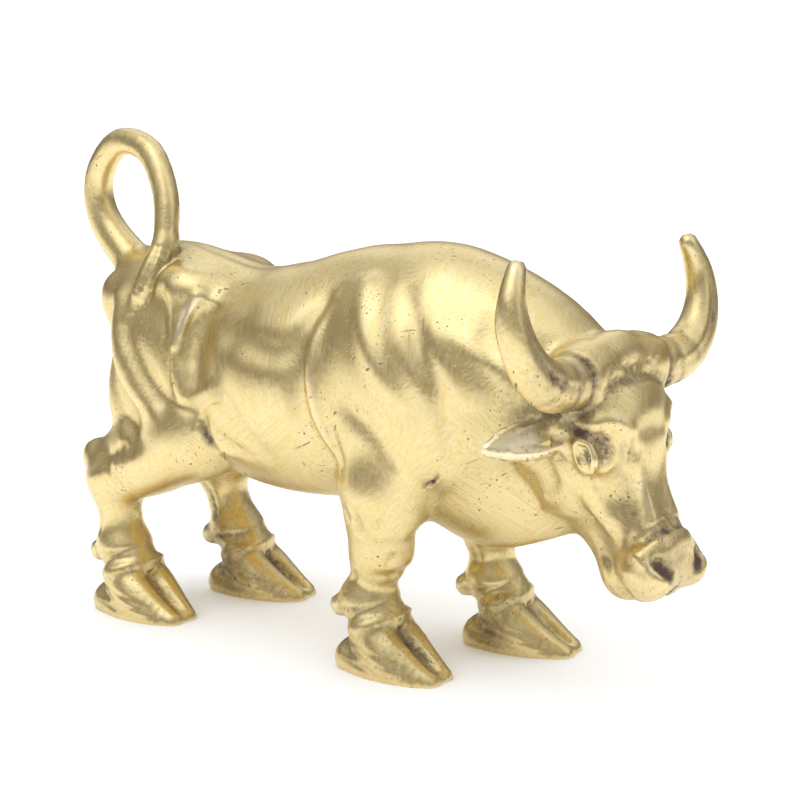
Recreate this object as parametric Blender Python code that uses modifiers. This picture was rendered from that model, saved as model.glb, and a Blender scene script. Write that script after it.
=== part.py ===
"""A small bull in cast brass, standing with its head lowered and its tail thrown over its croup.

The casting is one solid. Lumps of clay, as ellipsoids and tapering ropes, are fused into one skin by a
voxel remesh, and the skin is then drawn onto the blend of the same lumps, so that they flow into each other
as modelled muscle does. Grooves and ridges are pressed into that blend along curves. The soles are filed
flat on the ground.

The figure's pose, proportions and carving are shares of its shoulder height. It faces +X, its right side is
at -Y, and it stands on Z = 0.
"""

import math

import bmesh
import bpy
import numpy as np
from mathutils import Euler, Matrix, Vector

# Driving sizes, in metres.
SHOULDER_HEIGHT = 0.088  # from the ground to the top of the withers

# Fineness of the model. The grain is a share of the shoulder height.
GRAIN = 0.0125
TRIANGLES = 9300
ROUGH_ROUNDS = 3
SETTLING_ROUNDS = 6

# The finish.
BRASS_COLOUR = (0.76, 0.60, 0.27, 1.0)
BRASS_ROUGHNESS = 0.32

# All that follows is in shoulder heights, unless it says otherwise.
MIDDLE = (0.0973, 0.0)  # the middle of the figure's box, from where its coordinates start
FILING_DEPTH = 0.07  # how deep the block that files the soles flat reaches

# The masses of the trunk: half their length, width and height.
BARREL = (0.42, 0.240, 0.290)
BELLY = (0.34, 0.228, 0.250)
CROUP = (0.25, 0.185, 0.210)
CHEST = (0.24, 0.215, 0.285)
NECK_RADII = (0.240, 0.215, 0.165)  # at the shoulder, at its middle and behind the head

# The joints of the legs: how far out from the middle plane each is, and how high.
ELBOW = (0.170, 0.440)
KNEE = (0.160, 0.290)
FORE_FETLOCK = (0.158, 0.166)
HIP = (0.110, 0.75)
STIFLE = (0.160, 0.49)
HOCK = (0.150, 0.350)
HIND_FETLOCK = (0.150, 0.170)
CORONET_HEIGHT = 0.122
PASTERN_REACH = 0.040  # how far the coronet is before the fetlock

# The thickness of the legs, as radii.
FORELEG_RADII = (0.104, 0.090, 0.066)  # at the elbow, the forearm and the knee
FORE_CANNON_RADIUS = 0.064
HIND_LEG_RADII = (0.094, 0.096, 0.070)  # at the stifle, the gaskin and the hock
HIND_CANNON_RADIUS = 0.065
HOOF_SCALE = 1.32

# The head and its horns.
HEAD_POLL = (0.780, 0.0, 0.775)
HEAD_DROP = 62.0  # degrees that the face points below the level
HEAD_TURN = -9.0  # degrees to the left, so that this one is to the right
HEAD_SCALE = 1.28
HORN_RADII = (0.050, 0.048, 0.044, 0.038, 0.031, 0.025, 0.018)  # from the skull to the tip

# The tail.
TAIL_RADII = (0.056, 0.050, 0.042, 0.037, 0.035, 0.034, 0.033, 0.032)  # from the dock to the tuft
TUFT_RADII = (0.032, 0.040, 0.034, 0.014)

FAR = 9.0  # farther than any point is from any lump
TINY = 1e-9
LEAST_STEEPNESS = 0.2
PADDING = 0.010  # how much fatter the lumps are fused, so that the skin bridges the creases between them
LAYING_ROUNDS = 4
STROKE_REACH = 2.5  # widths from a stroke's path at which it no longer counts
MOST_STEP = 0.03  # the most that a point moves in one round
EVENING = 0.6  # the share of the way to the middle of its neighbours that a point moves


def turned(pitch=0.0, yaw=0.0, roll=0.0):
    """The axes of a lump turned by angles in degrees: positive pitch lowers its front end."""
    angles = Euler((math.radians(roll), math.radians(pitch), math.radians(yaw)))
    return np.array(angles.to_matrix())


def curve_through(stations, steps):
    """Points on a smooth curve through stations, which may carry a radius after their three coordinates."""
    known = np.array(stations, float)
    if len(known) == 2:
        shares = np.linspace(0, 1, steps + 1)[:, None]
        return known[0] + (known[1] - known[0]) * shares
    ends = np.vstack([2 * known[0] - known[1], known, 2 * known[-1] - known[-2]])
    found = []
    for before, start, end, after in zip(ends, ends[1:], ends[2:], ends[3:]):
        for share in np.arange(steps) / steps:
            found.append(
                0.5
                * (
                    2 * start
                    + (end - before) * share
                    + (2 * before - 5 * start + 4 * end - after) * share**2
                    + (3 * start - before - 3 * end + after) * share**3
                )
            )
    return np.vstack([found, known[-1]])


class Egg:
    """An ellipsoid lump of clay."""

    def __init__(self, centre, radii, pitch=0.0, yaw=0.0, roll=0.0, blend=0.05):
        self.centre = np.array(centre, float)
        self.radii = np.array(radii, float)
        self.axes = turned(pitch, yaw, roll)
        self.blend = blend
        self.reach = self.radii.max()

    def distance(self, points):
        """Roughly how far each point is outside the lump."""
        scaled = ((points - self.centre) @ self.axes) / self.radii
        length = np.linalg.norm(scaled, axis=1)
        steepness = np.linalg.norm(scaled / self.radii, axis=1)
        return length * (length - 1) / np.maximum(steepness, TINY)

    def placed(self, axes, origin, scale):
        """The same lump in a frame whose axes, origin and scale are given."""
        copy = Egg(origin + scale * axes @ self.centre, self.radii * scale, blend=self.blend * scale)
        copy.axes = axes @ self.axes
        return copy

    def mirrored(self):
        """The same lump on the other flank."""
        flip = np.diag([1.0, -1.0, 1.0])
        copy = Egg(flip @ self.centre, self.radii, blend=self.blend)
        copy.axes = flip @ self.axes @ flip
        return copy

    def add_to(self, clay):
        """Puts the lump into a bmesh as a ball that is stretched and turned."""
        shape = Matrix.Translation(self.centre) @ Matrix(self.axes.tolist()).to_4x4()
        shape = shape @ Matrix.Diagonal((*(self.radii + PADDING), 1.0))
        bmesh.ops.create_icosphere(clay, subdivisions=3, radius=1.0, matrix=shape)


class Rope:
    """A rope of clay through stations of (x, y, z, radius)."""

    def __init__(self, stations, steps=5, blend=0.03):
        self.stations = np.array(stations, float)
        self.steps = steps
        self.blend = blend
        self.beads = curve_through(self.stations, steps)
        self.centre = self.beads[:, :3].mean(axis=0)
        spread = np.linalg.norm(self.beads[:, :3] - self.centre, axis=1)
        self.reach = (spread + self.beads[:, 3]).max()

    def distance(self, points):
        """Roughly how far each point is outside the rope."""
        nearest = np.full(len(points), FAR)
        for start, end in zip(self.beads, self.beads[1:]):
            run = end[:3] - start[:3]
            share = ((points - start[:3]) @ run) / max(run @ run, TINY)
            share = np.clip(share, 0, 1)
            gap = np.linalg.norm(points - start[:3] - share[:, None] * run, axis=1)
            nearest = np.minimum(nearest, gap - start[3] - share * (end[3] - start[3]))
        return nearest

    def placed(self, axes, origin, scale):
        """The same rope in a frame whose axes, origin and scale are given."""
        stations = self.stations * scale
        stations[:, :3] = origin + stations[:, :3] @ axes.T
        return Rope(stations, self.steps, self.blend * scale)

    def mirrored(self):
        """The same rope on the other flank."""
        return Rope(self.stations * (1, -1, 1, 1), self.steps, self.blend)

    def add_to(self, clay):
        """Puts the rope into a bmesh as beads that overlap."""
        for x, y, z, radius in self.beads:
            place = Matrix.Translation((x, y, z))
            bmesh.ops.create_icosphere(clay, subdivisions=1, radius=radius + PADDING, matrix=place)


class Stroke:
    """A groove, or with a negative depth a ridge, pressed into the form along a curve."""

    def __init__(self, points, width, depth, steps=4):
        self.points = np.array(points, float)
        self.width = width
        self.depth = depth
        self.steps = steps
        self.path = curve_through(self.points, steps)
        self.bound()

    def bound(self):
        """Finds the ball outside which the stroke does nothing."""
        self.centre = self.path.mean(axis=0)
        spread = np.linalg.norm(self.path - self.centre, axis=1).max()
        self.reach = spread + STROKE_REACH * self.width

    def offset(self, points):
        """How far the surface moves in at each point."""
        found = np.zeros(len(points))
        near = np.linalg.norm(points - self.centre, axis=1) < self.reach
        if not near.any():
            return found
        close = points[near]
        nearest = np.full(len(close), FAR)
        along = np.zeros(len(close))
        runs = len(self.path) - 1
        for index in range(runs):
            start = self.path[index]
            run = self.path[index + 1] - start
            share = np.clip(((close - start) @ run) / max(run @ run, TINY), 0, 1)
            gap = np.linalg.norm(close - start - share[:, None] * run, axis=1)
            closer = gap < nearest
            along = np.where(closer, (index + share) / runs, along)
            nearest = np.where(closer, gap, nearest)
        fade = np.sqrt(np.clip(4 * along * (1 - along), 0.0, 1.0) * 0.85 + 0.15)
        found[near] = self.depth * fade * np.exp(-((nearest / self.width) ** 2))
        return found

    def placed(self, axes, origin, scale):
        """The same stroke in a frame whose axes, origin and scale are given."""
        points = origin + scale * self.points @ axes.T
        return Stroke(points, self.width * scale, self.depth * scale, self.steps)

    def mirrored(self):
        """The same stroke on the other flank."""
        return Stroke(self.points * (1, -1, 1), self.width, self.depth, self.steps)


def both(*shapes):
    """The shapes and their mirror images."""
    return [copy for shape in shapes for copy in (shape, shape.mirrored())]


def thickened(places, radii):
    """The stations of a rope, from its places and its radii."""
    return [(*place, radius) for place, radius in zip(places, radii)]


def trunk():
    """Barrel, chest, croup and neck."""
    neck = [(0.34, 0, 0.745), (0.54, 0, 0.700), (0.72, 0, 0.645)]
    return [
        Egg((0.05, 0, 0.665), BARREL, pitch=2, blend=0.05),
        Egg((-0.15, 0, 0.625), BELLY, blend=0.10),
        Egg((-0.43, 0, 0.745), CROUP, pitch=-4, blend=0.10),
        Egg((-0.54, 0, 0.835), (0.14, 0.120, 0.110), pitch=-16, blend=0.08),
        Egg((0.36, 0, 0.640), CHEST, blend=0.10),
        Rope(thickened(neck, NECK_RADII), blend=0.10),
        Egg((0.22, 0, 0.885), (0.22, 0.090, 0.110), pitch=4, blend=0.09),
        Egg((0.48, 0, 0.865), (0.24, 0.120, 0.105), pitch=20, blend=0.08),
        Egg((0.50, 0, 0.430), (0.16, 0.100, 0.120), pitch=-25, blend=0.09),
        Egg((0.64, 0, 0.490), (0.19, 0.045, 0.130), pitch=-22, blend=0.07),
        *both(
            Egg((-0.36, 0.140, 0.880), (0.060, 0.040, 0.035), pitch=10, blend=0.08),
            Egg((-0.640, 0.080, 0.820), (0.035, 0.030, 0.045), blend=0.06),
        ),
    ]


def shoulder(side):
    """Blade and upper arm of one foreleg, on the side whose sign is given."""
    shapes = [
        Egg((0.26, 0.150, 0.730), (0.105, 0.085, 0.215), pitch=-26, roll=6, blend=0.045),
        Egg((0.385, 0.165, 0.590), (0.085, 0.072, 0.110), pitch=-10, blend=0.045),
        Egg((0.270, 0.180, 0.545), (0.135, 0.068, 0.100), pitch=30, blend=0.045),
    ]
    return shapes if side > 0 else [shape.mirrored() for shape in shapes]


def hoof(coronet, heading):
    """A cloven hoof with its coronet at the point given, its toes turned to the heading in degrees."""
    front = [(-0.005, 0.030, 0.080, 0.034), (0.050, 0.030, 0.046, 0.029), (0.124, 0.020, 0.007, 0.012)]
    sole = [(-0.044, 0.028, 0.018, 0.034), (0.030, 0.031, 0.004, 0.037), (0.122, 0.020, -0.004, 0.016)]
    wall = [(-0.005, 0.044, 0.072, 0.020), (0.045, 0.049, 0.028, 0.018), (0.100, 0.035, -0.002, 0.012)]
    claw = [Rope(front, blend=0.012), Rope(sole, blend=0.020), Rope(wall, blend=0.020)]
    cleft = Stroke([(0.036, 0, 0.090), (0.080, 0, 0.056), (0.132, 0, 0.012)], 0.011, 0.010)
    axes = turned(yaw=heading)
    origin = np.array([coronet[0], coronet[1], 0.0])
    shapes = [shape.placed(axes, origin, HOOF_SCALE) for part in claw for shape in both(part)]
    return shapes, [cleft.placed(axes, origin, HOOF_SCALE)]


def lower_leg(knee, fetlock, heading, thickness):
    """Cannon, fetlock with its dew claws, pastern and hoof."""
    forward = turned(yaw=heading) @ (1, 0, 0)
    aside = turned(yaw=heading) @ (0, 1, 0)
    coronet = np.array([fetlock[0], fetlock[1], CORONET_HEIGHT]) + forward * PASTERN_REACH
    hooves, strokes = hoof(coronet, heading)
    middle = (knee + fetlock) / 2
    shapes = [
        Rope([(*knee, thickness), (*middle, 0.88 * thickness), (*fetlock, 0.96 * thickness)], blend=0.03),
        Egg(fetlock + forward * 0.004, (0.068, 0.070, 0.050), yaw=heading, blend=0.03),
        Rope([(*fetlock, 0.054), (*coronet, 0.062)], steps=2, blend=0.03),
        Egg(coronet - forward * 0.004, (0.070, 0.090, 0.021), pitch=-20, yaw=heading, blend=0.010),
    ]
    for sign in (1, -1):
        claw = fetlock - forward * 0.064 + aside * (sign * 0.032) - np.array([0, 0, 0.022])
        shapes.append(Egg(claw, (0.024, 0.022, 0.028), pitch=-30, yaw=heading, blend=0.014))
    return shapes + hooves, strokes


def joint(along, side, place):
    """A joint of the leg on the side whose sign is given, from how far out and how high it is."""
    out, height = place
    return np.array([along, side * out, height])


def foreleg(side, elbow_at, knee_at, fetlock_at, heading):
    """Forearm, knee and what is below it, with the joints at the X given."""
    elbow, knee = joint(elbow_at, side, ELBOW), joint(knee_at, side, KNEE)
    fetlock = joint(fetlock_at, side, FORE_FETLOCK)
    run = knee - elbow
    shapes = [
        Rope(thickened((elbow, elbow + 0.45 * run, knee), FORELEG_RADII), blend=0.05),
        Egg(elbow + 0.30 * run + (0.030, side * 0.026, 0), (0.060, 0.050, 0.105), blend=0.03),
        Egg(elbow + (-0.078, side * 0.006, 0.010), (0.044, 0.040, 0.052), blend=0.03),
        Egg(knee + (0.010, 0, 0.004), (0.070, 0.070, 0.064), blend=0.025),
    ]
    lower, strokes = lower_leg(knee, fetlock, heading, FORE_CANNON_RADIUS)
    return shapes + lower, strokes


def hind_leg(side, hip_at, stifle_at, hock_at, fetlock_at, heading):
    """Thigh, gaskin, hock and what is below it, with the joints at the X given."""
    hip, stifle = joint(hip_at, side, HIP), joint(stifle_at, side, STIFLE)
    hock, fetlock = joint(hock_at, side, HOCK), joint(fetlock_at, side, HIND_FETLOCK)
    run = hock - stifle
    middle = (hip + stifle) / 2
    lean = math.degrees(math.atan2(stifle[0] - hip[0], hip[2] - stifle[2]))
    point = hock + (-0.062, 0, 0.052)
    calf = stifle + 0.42 * run + (-0.085, 0, 0.040)
    outward = np.array([0.0, side, 0.0])
    ridge = [
        (*(hip + outward * 0.030 + (-0.125, 0, 0.070)), 0.032),
        (*(hip + outward * 0.075 + (-0.060, 0, -0.060)), 0.044),
        (*(stifle + outward * 0.030 + (-0.075, 0, 0.060)), 0.046),
        (*(stifle + outward * 0.020 + (0.0, 0, 0.010)), 0.050),
    ]
    front = [
        (*(hip + outward * 0.040 + (0.070, 0, 0.100)), 0.034),
        (*(hip + outward * 0.078 + (0.105, 0, -0.060)), 0.036),
        (*(stifle + outward * 0.036 + (0.030, 0, 0.060)), 0.044),
    ]
    shapes = [
        Egg(middle + (0.000, 0, -0.005), (0.140, 0.085, 0.215), pitch=-lean, blend=0.05),
        Egg(middle + (-0.135, -side * 0.012, -0.010), (0.105, 0.085, 0.195), pitch=8, blend=0.05),
        Egg(stifle, (0.088, 0.072, 0.090), blend=0.05),
        Rope(ridge, blend=0.028),
        Rope(front, blend=0.028),
        Rope(thickened((stifle, stifle + 0.45 * run, hock), HIND_LEG_RADII), blend=0.05),
        Rope([(*calf, 0.048), (*point, 0.030)], blend=0.030),
        Egg(hock + (0.006, 0, 0.008), (0.078, 0.071, 0.078), blend=0.03),
        Egg(point, (0.036, 0.034, 0.040), blend=0.03),
    ]
    lower, strokes = lower_leg(hock, fetlock, heading, HIND_CANNON_RADIUS)
    tendon = [
        stifle + 0.34 * run + (-0.060, side * 0.055, 0.020),
        stifle + 0.68 * run + (-0.040, side * 0.050, 0.020),
        hock + (-0.030, side * 0.050, 0.010),
    ]
    strokes.append(Stroke(tendon, 0.014, 0.010))
    return shapes + lower, strokes


def horn():
    """The left horn, in the head's frame."""
    bend = [
        (0.000, 0.070, -0.010),
        (0.012, 0.130, -0.008),
        (0.008, 0.190, 0.002),
        (-0.022, 0.240, 0.018),
        (-0.072, 0.268, 0.038),
        (-0.128, 0.270, 0.056),
        (-0.178, 0.248, 0.072),
    ]
    return Rope(thickened(bend, HORN_RADII), blend=0.022)


def head():
    """The head, in a frame with X down the face, Y to its left and Z out of the brow, from the poll."""
    roll = [(0.002, -0.09, -0.008, 0.040), (-0.020, 0, 0.010, 0.040), (0.002, 0.09, -0.008, 0.040)]
    nose = [(0.12, 0, -0.088, 0.080), (0.24, 0, -0.082, 0.062), (0.33, 0, -0.076, 0.056)]
    bridge = [(0.11, 0.030, -0.032, 0.030), (0.22, 0.018, -0.034, 0.025), (0.33, 0.026, -0.036, 0.026)]
    rim = [(0.334, -0.066, -0.046, 0.018), (0.322, 0, -0.018, 0.020), (0.334, 0.066, -0.046, 0.018)]
    jaw = [(0.13, 0, -0.165, 0.054), (0.25, 0, -0.148, 0.046), (0.33, 0, -0.136, 0.036)]
    brow = [(0.078, 0.046, 0.004, 0.018), (0.086, 0.082, -0.006, 0.022), (0.104, 0.112, -0.032, 0.020)]
    masses = [
        Egg((0.085, 0, -0.070), (0.135, 0.114, 0.100), blend=0.04),
        Egg((0.062, 0, -0.014), (0.084, 0.094, 0.038), blend=0.03),
        Rope(roll, blend=0.02),
        Rope(nose, blend=0.04),
        Egg((0.352, 0, -0.070), (0.054, 0.086, 0.058), pitch=-10, blend=0.03),
        Rope(rim, blend=0.014),
        Egg((0.388, 0, -0.094), (0.024, 0.058, 0.030), pitch=-10, blend=0.016),
        Egg((0.345, 0, -0.142), (0.054, 0.054, 0.032), pitch=8, blend=0.014),
        Rope(jaw, blend=0.03),
        *both(
            Rope(bridge, blend=0.018),
            Egg((0.125, 0.066, -0.130), (0.100, 0.044, 0.078), pitch=14, blend=0.03),
            Rope(brow, blend=0.016),
            Egg((0.205, 0.060, -0.090), (0.075, 0.024, 0.022), yaw=-8, blend=0.025),
            Egg((0.376, 0.050, -0.048), (0.032, 0.032, 0.034), blend=0.018),
            Egg((0.005, 0.085, -0.012), (0.045, 0.050, 0.048), blend=0.03),
            horn(),
            *ear(),
            Egg((0.138, 0.094, -0.052), (0.038, 0.030, 0.034), blend=0.006),
        ),
    ]
    return masses, face()


def ear():
    """The left ear, in the head's frame."""
    return [
        Rope([(0.060, 0.095, -0.075, 0.034), (0.072, 0.145, -0.090, 0.026)], blend=0.02),
        Egg((0.080, 0.178, -0.096), (0.036, 0.072, 0.018), yaw=8, roll=-16, pitch=16, blend=0.014),
        Egg((0.078, 0.226, -0.110), (0.020, 0.046, 0.014), yaw=4, roll=-16, pitch=16, blend=0.014),
    ]


def face():
    """The strokes that draw the mouth, nostrils, eyelids, ears and jaw, in the head's frame."""
    mouth = [(0.400, 0.000, -0.116), (0.384, 0.052, -0.116), (0.290, 0.076, -0.122)]
    nostril = [(0.404, 0.044, -0.064), (0.406, 0.060, -0.048), (0.394, 0.070, -0.034)]
    nose_side = [(0.150, 0.062, -0.030), (0.220, 0.046, -0.040), (0.300, 0.050, -0.044)]
    upper_lid = [(0.094, 0.114, -0.066), (0.10, 0.108, -0.030), (0.134, 0.1, -0.014), (0.178, 0.088, -0.046)]
    lower_lid = [(0.102, 0.116, -0.080), (0.142, 0.114, -0.094), (0.178, 0.096, -0.072)]
    ear_hollow = [(0.080, 0.140, -0.078), (0.078, 0.180, -0.076), (0.074, 0.222, -0.090)]
    behind_jaw = [(0.020, 0.10, -0.15), (0.10, 0.11, -0.205), (0.19, 0.08, -0.20)]
    return both(
        Stroke(mouth, 0.010, 0.009),
        Stroke(nostril, 0.013, 0.012),
        Stroke(nose_side, 0.014, 0.012),
        Stroke(upper_lid, 0.010, 0.008),
        Stroke(lower_lid, 0.010, 0.008),
        Stroke(ear_hollow, 0.016, 0.009),
        Stroke(behind_jaw, 0.022, 0.014),
    )


def tail():
    """The tail, thrown up from the dock and over the croup, with its tuft on the right hip."""
    over = [
        (-0.570, 0.000, 0.860),
        (-0.668, 0.000, 0.915),
        (-0.755, 0.000, 1.015),
        (-0.760, -0.004, 1.125),
        (-0.672, -0.018, 1.214),
        (-0.550, -0.040, 1.196),
        (-0.475, -0.068, 1.090),
        (-0.452, -0.098, 0.975),
    ]
    tuft = [over[-1], (-0.458, -0.126, 0.915), (-0.476, -0.152, 0.858), (-0.505, -0.170, 0.806)]
    return [
        Rope(thickened(over, TAIL_RADII), steps=4, blend=0.03),
        Rope(thickened(tuft, TUFT_RADII), steps=4, blend=0.012),
    ]


def folds():
    """Grooves, and ridges with a negative depth, of hide and muscle over the trunk."""
    behind_shoulder = [(0.10, 0.2, 0.93), (0.06, 0.24, 0.78), (0.08, 0.25, 0.62), (0.14, 0.24, 0.46)]
    blade = [(0.19, 0.12, 0.95), (0.27, 0.22, 0.80), (0.37, 0.24, 0.66)]
    before_shoulder = [(0.31, 0.15, 0.95), (0.41, 0.22, 0.80), (0.48, 0.22, 0.66), (0.47, 0.20, 0.50)]
    crest = [(0.44, 0.2, 0.86), (0.58, 0.2, 0.79), (0.72, 0.17, 0.70)]
    throat = [(0.50, 0.2, 0.66), (0.60, 0.2, 0.60), (0.70, 0.17, 0.55)]
    last_rib = [(-0.10, 0.2, 0.88), (-0.17, 0.23, 0.74), (-0.14, 0.24, 0.60), (-0.02, 0.22, 0.46)]
    flank = [(-0.25, 0.18, 0.86), (-0.27, 0.2, 0.75), (-0.23, 0.22, 0.64)]
    flank_fold = [(-0.25, 0.19, 0.56), (-0.16, 0.2, 0.46)]
    behind_thigh = [(-0.60, 0.12, 0.82), (-0.56, 0.16, 0.66), (-0.52, 0.18, 0.52)]
    return both(
        Stroke(behind_shoulder, 0.026, 0.020),
        Stroke(blade, 0.022, -0.016),
        Stroke(before_shoulder, 0.024, 0.018),
        Stroke(crest, 0.026, -0.010),
        Stroke(throat, 0.024, 0.014),
        Stroke(last_rib, 0.030, 0.012),
        Stroke(flank, 0.045, 0.024),
        Stroke(flank_fold, 0.024, -0.012),
        Stroke(behind_thigh, 0.022, 0.014),
    )


def legs():
    """The lumps and strokes of the four legs."""
    return [
        foreleg(1, elbow_at=0.300, knee_at=0.365, fetlock_at=0.375, heading=6),
        foreleg(-1, elbow_at=0.270, knee_at=0.250, fetlock_at=0.215, heading=-5),
        hind_leg(1, hip_at=-0.42, stifle_at=-0.275, hock_at=-0.500, fetlock_at=-0.440, heading=6),
        hind_leg(-1, hip_at=-0.43, stifle_at=-0.320, hock_at=-0.600, fetlock_at=-0.580, heading=-6),
    ]


def bull():
    """Every lump and stroke of the figure, in shoulder heights."""
    shapes = trunk() + shoulder(1) + shoulder(-1) + tail()
    strokes = folds()
    for masses, marks in legs():
        shapes += masses
        strokes += marks
    masses, marks = head()
    axes = turned(pitch=HEAD_DROP, yaw=HEAD_TURN)
    origin = np.array(HEAD_POLL)
    shapes += [mass.placed(axes, origin, HEAD_SCALE) for mass in masses]
    strokes += [mark.placed(axes, origin, HEAD_SCALE) for mark in marks]
    lay_on(strokes, shapes)
    return shapes, strokes


def blended(points, shapes, strokes):
    """How far each point is outside the blended form, with its grooves and ridges."""
    form = np.full(len(points), FAR)
    for shape in shapes:
        near = np.linalg.norm(points - shape.centre, axis=1) < shape.reach + 3 * shape.blend + 0.05
        found = shape.distance(points[near])
        before = form[near]
        ease = np.maximum(shape.blend - np.abs(before - found), 0) / shape.blend
        form[near] = np.minimum(before, found) - ease * ease * shape.blend / 4
    for stroke in strokes:
        form += stroke.offset(points)
    return form


def slope_of(points, value, shapes, step=0.0015):
    """The direction in which the lumps' distance grows, at each point."""
    slope = np.empty_like(points)
    for axis in range(3):
        moved = points.copy()
        moved[:, axis] += step
        slope[:, axis] = (blended(moved, shapes, ()) - value) / step
    return slope


def lay_on(strokes, shapes):
    """Draws the strokes' paths onto the lumps' blend."""
    points = np.vstack([stroke.path for stroke in strokes])
    for _ in range(LAYING_ROUNDS):
        value = blended(points, shapes, ())
        slope = slope_of(points, value, shapes)
        steepness = np.maximum((slope * slope).sum(axis=1), LEAST_STEEPNESS)
        points = points - slope * (value / steepness)[:, None]
    ends = np.cumsum([len(stroke.path) for stroke in strokes])
    for stroke, path in zip(strokes, np.split(points, ends[:-1])):
        stroke.path = path
        stroke.bound()


def settle(mesh, shapes, strokes, rounds):
    """Draws the points of a skin onto the blended form, and evens them out along it."""
    count = len(mesh.vertices)
    points = np.empty(count * 3)
    mesh.vertices.foreach_get("co", points)
    points = points.reshape(-1, 3)
    edges = np.empty(len(mesh.edges) * 2, np.int32)
    mesh.edges.foreach_get("vertices", edges)
    others = edges.reshape(-1, 2)[:, ::-1].ravel()
    shared = np.maximum(np.bincount(edges, minlength=count), 1)[:, None]
    normal = np.empty(count * 3)
    for turn in range(rounds):
        mesh.vertex_normals.foreach_get("vector", normal)
        across = normal.reshape(-1, 3)
        value = blended(points, shapes, strokes)
        points = points - across * np.clip(value, -MOST_STEP, MOST_STEP)[:, None]
        if turn < rounds - 1:
            total = [np.bincount(edges, points[others, axis], count) for axis in range(3)]
            pull = np.stack(total, axis=1) / shared - points
            pull -= across * (pull * across).sum(axis=1, keepdims=True)
            points = points + EVENING * pull
        mesh.vertices.foreach_set("co", points.astype(np.float32).ravel())
        mesh.update()


def evaluated_mesh(obj):
    """The mesh of an object with its modifiers applied."""
    graph = bpy.context.evaluated_depsgraph_get()
    return bpy.data.meshes.new_from_object(obj.evaluated_get(graph))


def apply_modifiers(obj):
    """Replaces an object's mesh with the mesh that its modifiers give."""
    mesh = evaluated_mesh(obj)
    obj.modifiers.clear()
    old = obj.data
    obj.data = mesh
    bpy.data.meshes.remove(old)


def fuse(skin, grain):
    """Gives a skin one even surface, and drops any pocket that is left inside it."""
    remesh = skin.modifiers.new("fuse", "REMESH")
    remesh.mode = "VOXEL"
    remesh.voxel_size = grain
    apply_modifiers(skin)
    form = bmesh.new()
    form.from_mesh(skin.data)
    left = set(form.verts)
    islands = []
    while left:
        island = {left.pop()}
        edge_of_island = list(island)
        while edge_of_island:
            vertex = edge_of_island.pop()
            for edge in vertex.link_edges:
                other = edge.other_vert(vertex)
                if other in left:
                    left.discard(other)
                    island.add(other)
                    edge_of_island.append(other)
        islands.append(island)
    islands.sort(key=len)
    pockets = [vertex for island in islands[:-1] for vertex in island]
    bmesh.ops.delete(form, geom=pockets, context="VERTS")
    form.to_mesh(skin.data)
    form.free()


def modelled_skin(collection, shapes, strokes, grain):
    """One skin over all the lumps, settled onto their blend with its grooves and ridges."""
    clay = bmesh.new()
    for shape in shapes:
        shape.add_to(clay)
    mesh = bpy.data.meshes.new("bull")
    clay.to_mesh(mesh)
    clay.free()
    skin = bpy.data.objects.new("bull", mesh)
    collection.objects.link(skin)
    fuse(skin, grain)
    settle(skin.data, shapes, (), ROUGH_ROUNDS)
    fuse(skin, grain)
    settle(skin.data, shapes, strokes, SETTLING_ROUNDS)
    return skin


def brass():
    """Satin brass."""
    material = bpy.data.materials.new("cast_brass")
    material.use_nodes = True
    shader = material.node_tree.nodes["Principled BSDF"]
    shader.inputs["Base Color"].default_value = BRASS_COLOUR
    shader.inputs["Metallic"].default_value = 1.0
    shader.inputs["Roughness"].default_value = BRASS_ROUGHNESS
    return material


def collection_named(name):
    """A new collection in the scene."""
    collection = bpy.data.collections.new(name)
    bpy.context.scene.collection.children.link(collection)
    return collection


def filing_block(collection):
    """The block under the ground that takes off what hangs below the soles."""
    block = bmesh.new()
    side = 3 * SHOULDER_HEIGHT
    depth = FILING_DEPTH * SHOULDER_HEIGHT
    shape = Matrix.Translation((0, 0, -depth / 2)) @ Matrix.Diagonal((side, side, depth, 1))
    bmesh.ops.create_cube(block, size=1, matrix=shape)
    mesh = bpy.data.meshes.new("filing_block")
    block.to_mesh(mesh)
    block.free()
    cutter = bpy.data.objects.new("filing_block", mesh)
    cutter.hide_render = True
    cutter.display_type = "WIRE"
    collection.objects.link(cutter)
    return cutter


def main():
    """Clears the scene and models the bull."""
    for obj in list(bpy.data.objects):
        bpy.data.objects.remove(obj)
    parts = collection_named("bull_sculpture")
    cutters = collection_named("cutters")
    shapes, strokes = bull()
    skin = modelled_skin(parts, shapes, strokes, GRAIN)
    thin = skin.modifiers.new("thin", "DECIMATE")
    thin.ratio = min(1.0, TRIANGLES / (2 * len(skin.data.polygons)))
    thin.use_collapse_triangulate = True
    apply_modifiers(skin)
    settle(skin.data, shapes, strokes, 1)
    skin.data.transform(Matrix.Translation((-MIDDLE[0], -MIDDLE[1], 0)))
    skin.data.transform(Matrix.Scale(SHOULDER_HEIGHT, 4))
    file_flat = skin.modifiers.new("file_flat", "BOOLEAN")
    file_flat.operation = "DIFFERENCE"
    file_flat.object = filing_block(cutters)
    skin.data.materials.append(brass())
    skin.data.shade_smooth()


main()
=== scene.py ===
"""A small bull in cast brass, carved finely over its solid frame, on a pale studio floor."""

import logging
import math
from collections.abc import Iterator
from contextlib import contextmanager
from dataclasses import dataclass, field
from enum import Enum

import bmesh
import bpy
import numpy as np
from mathutils import Euler, Matrix, Vector


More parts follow.
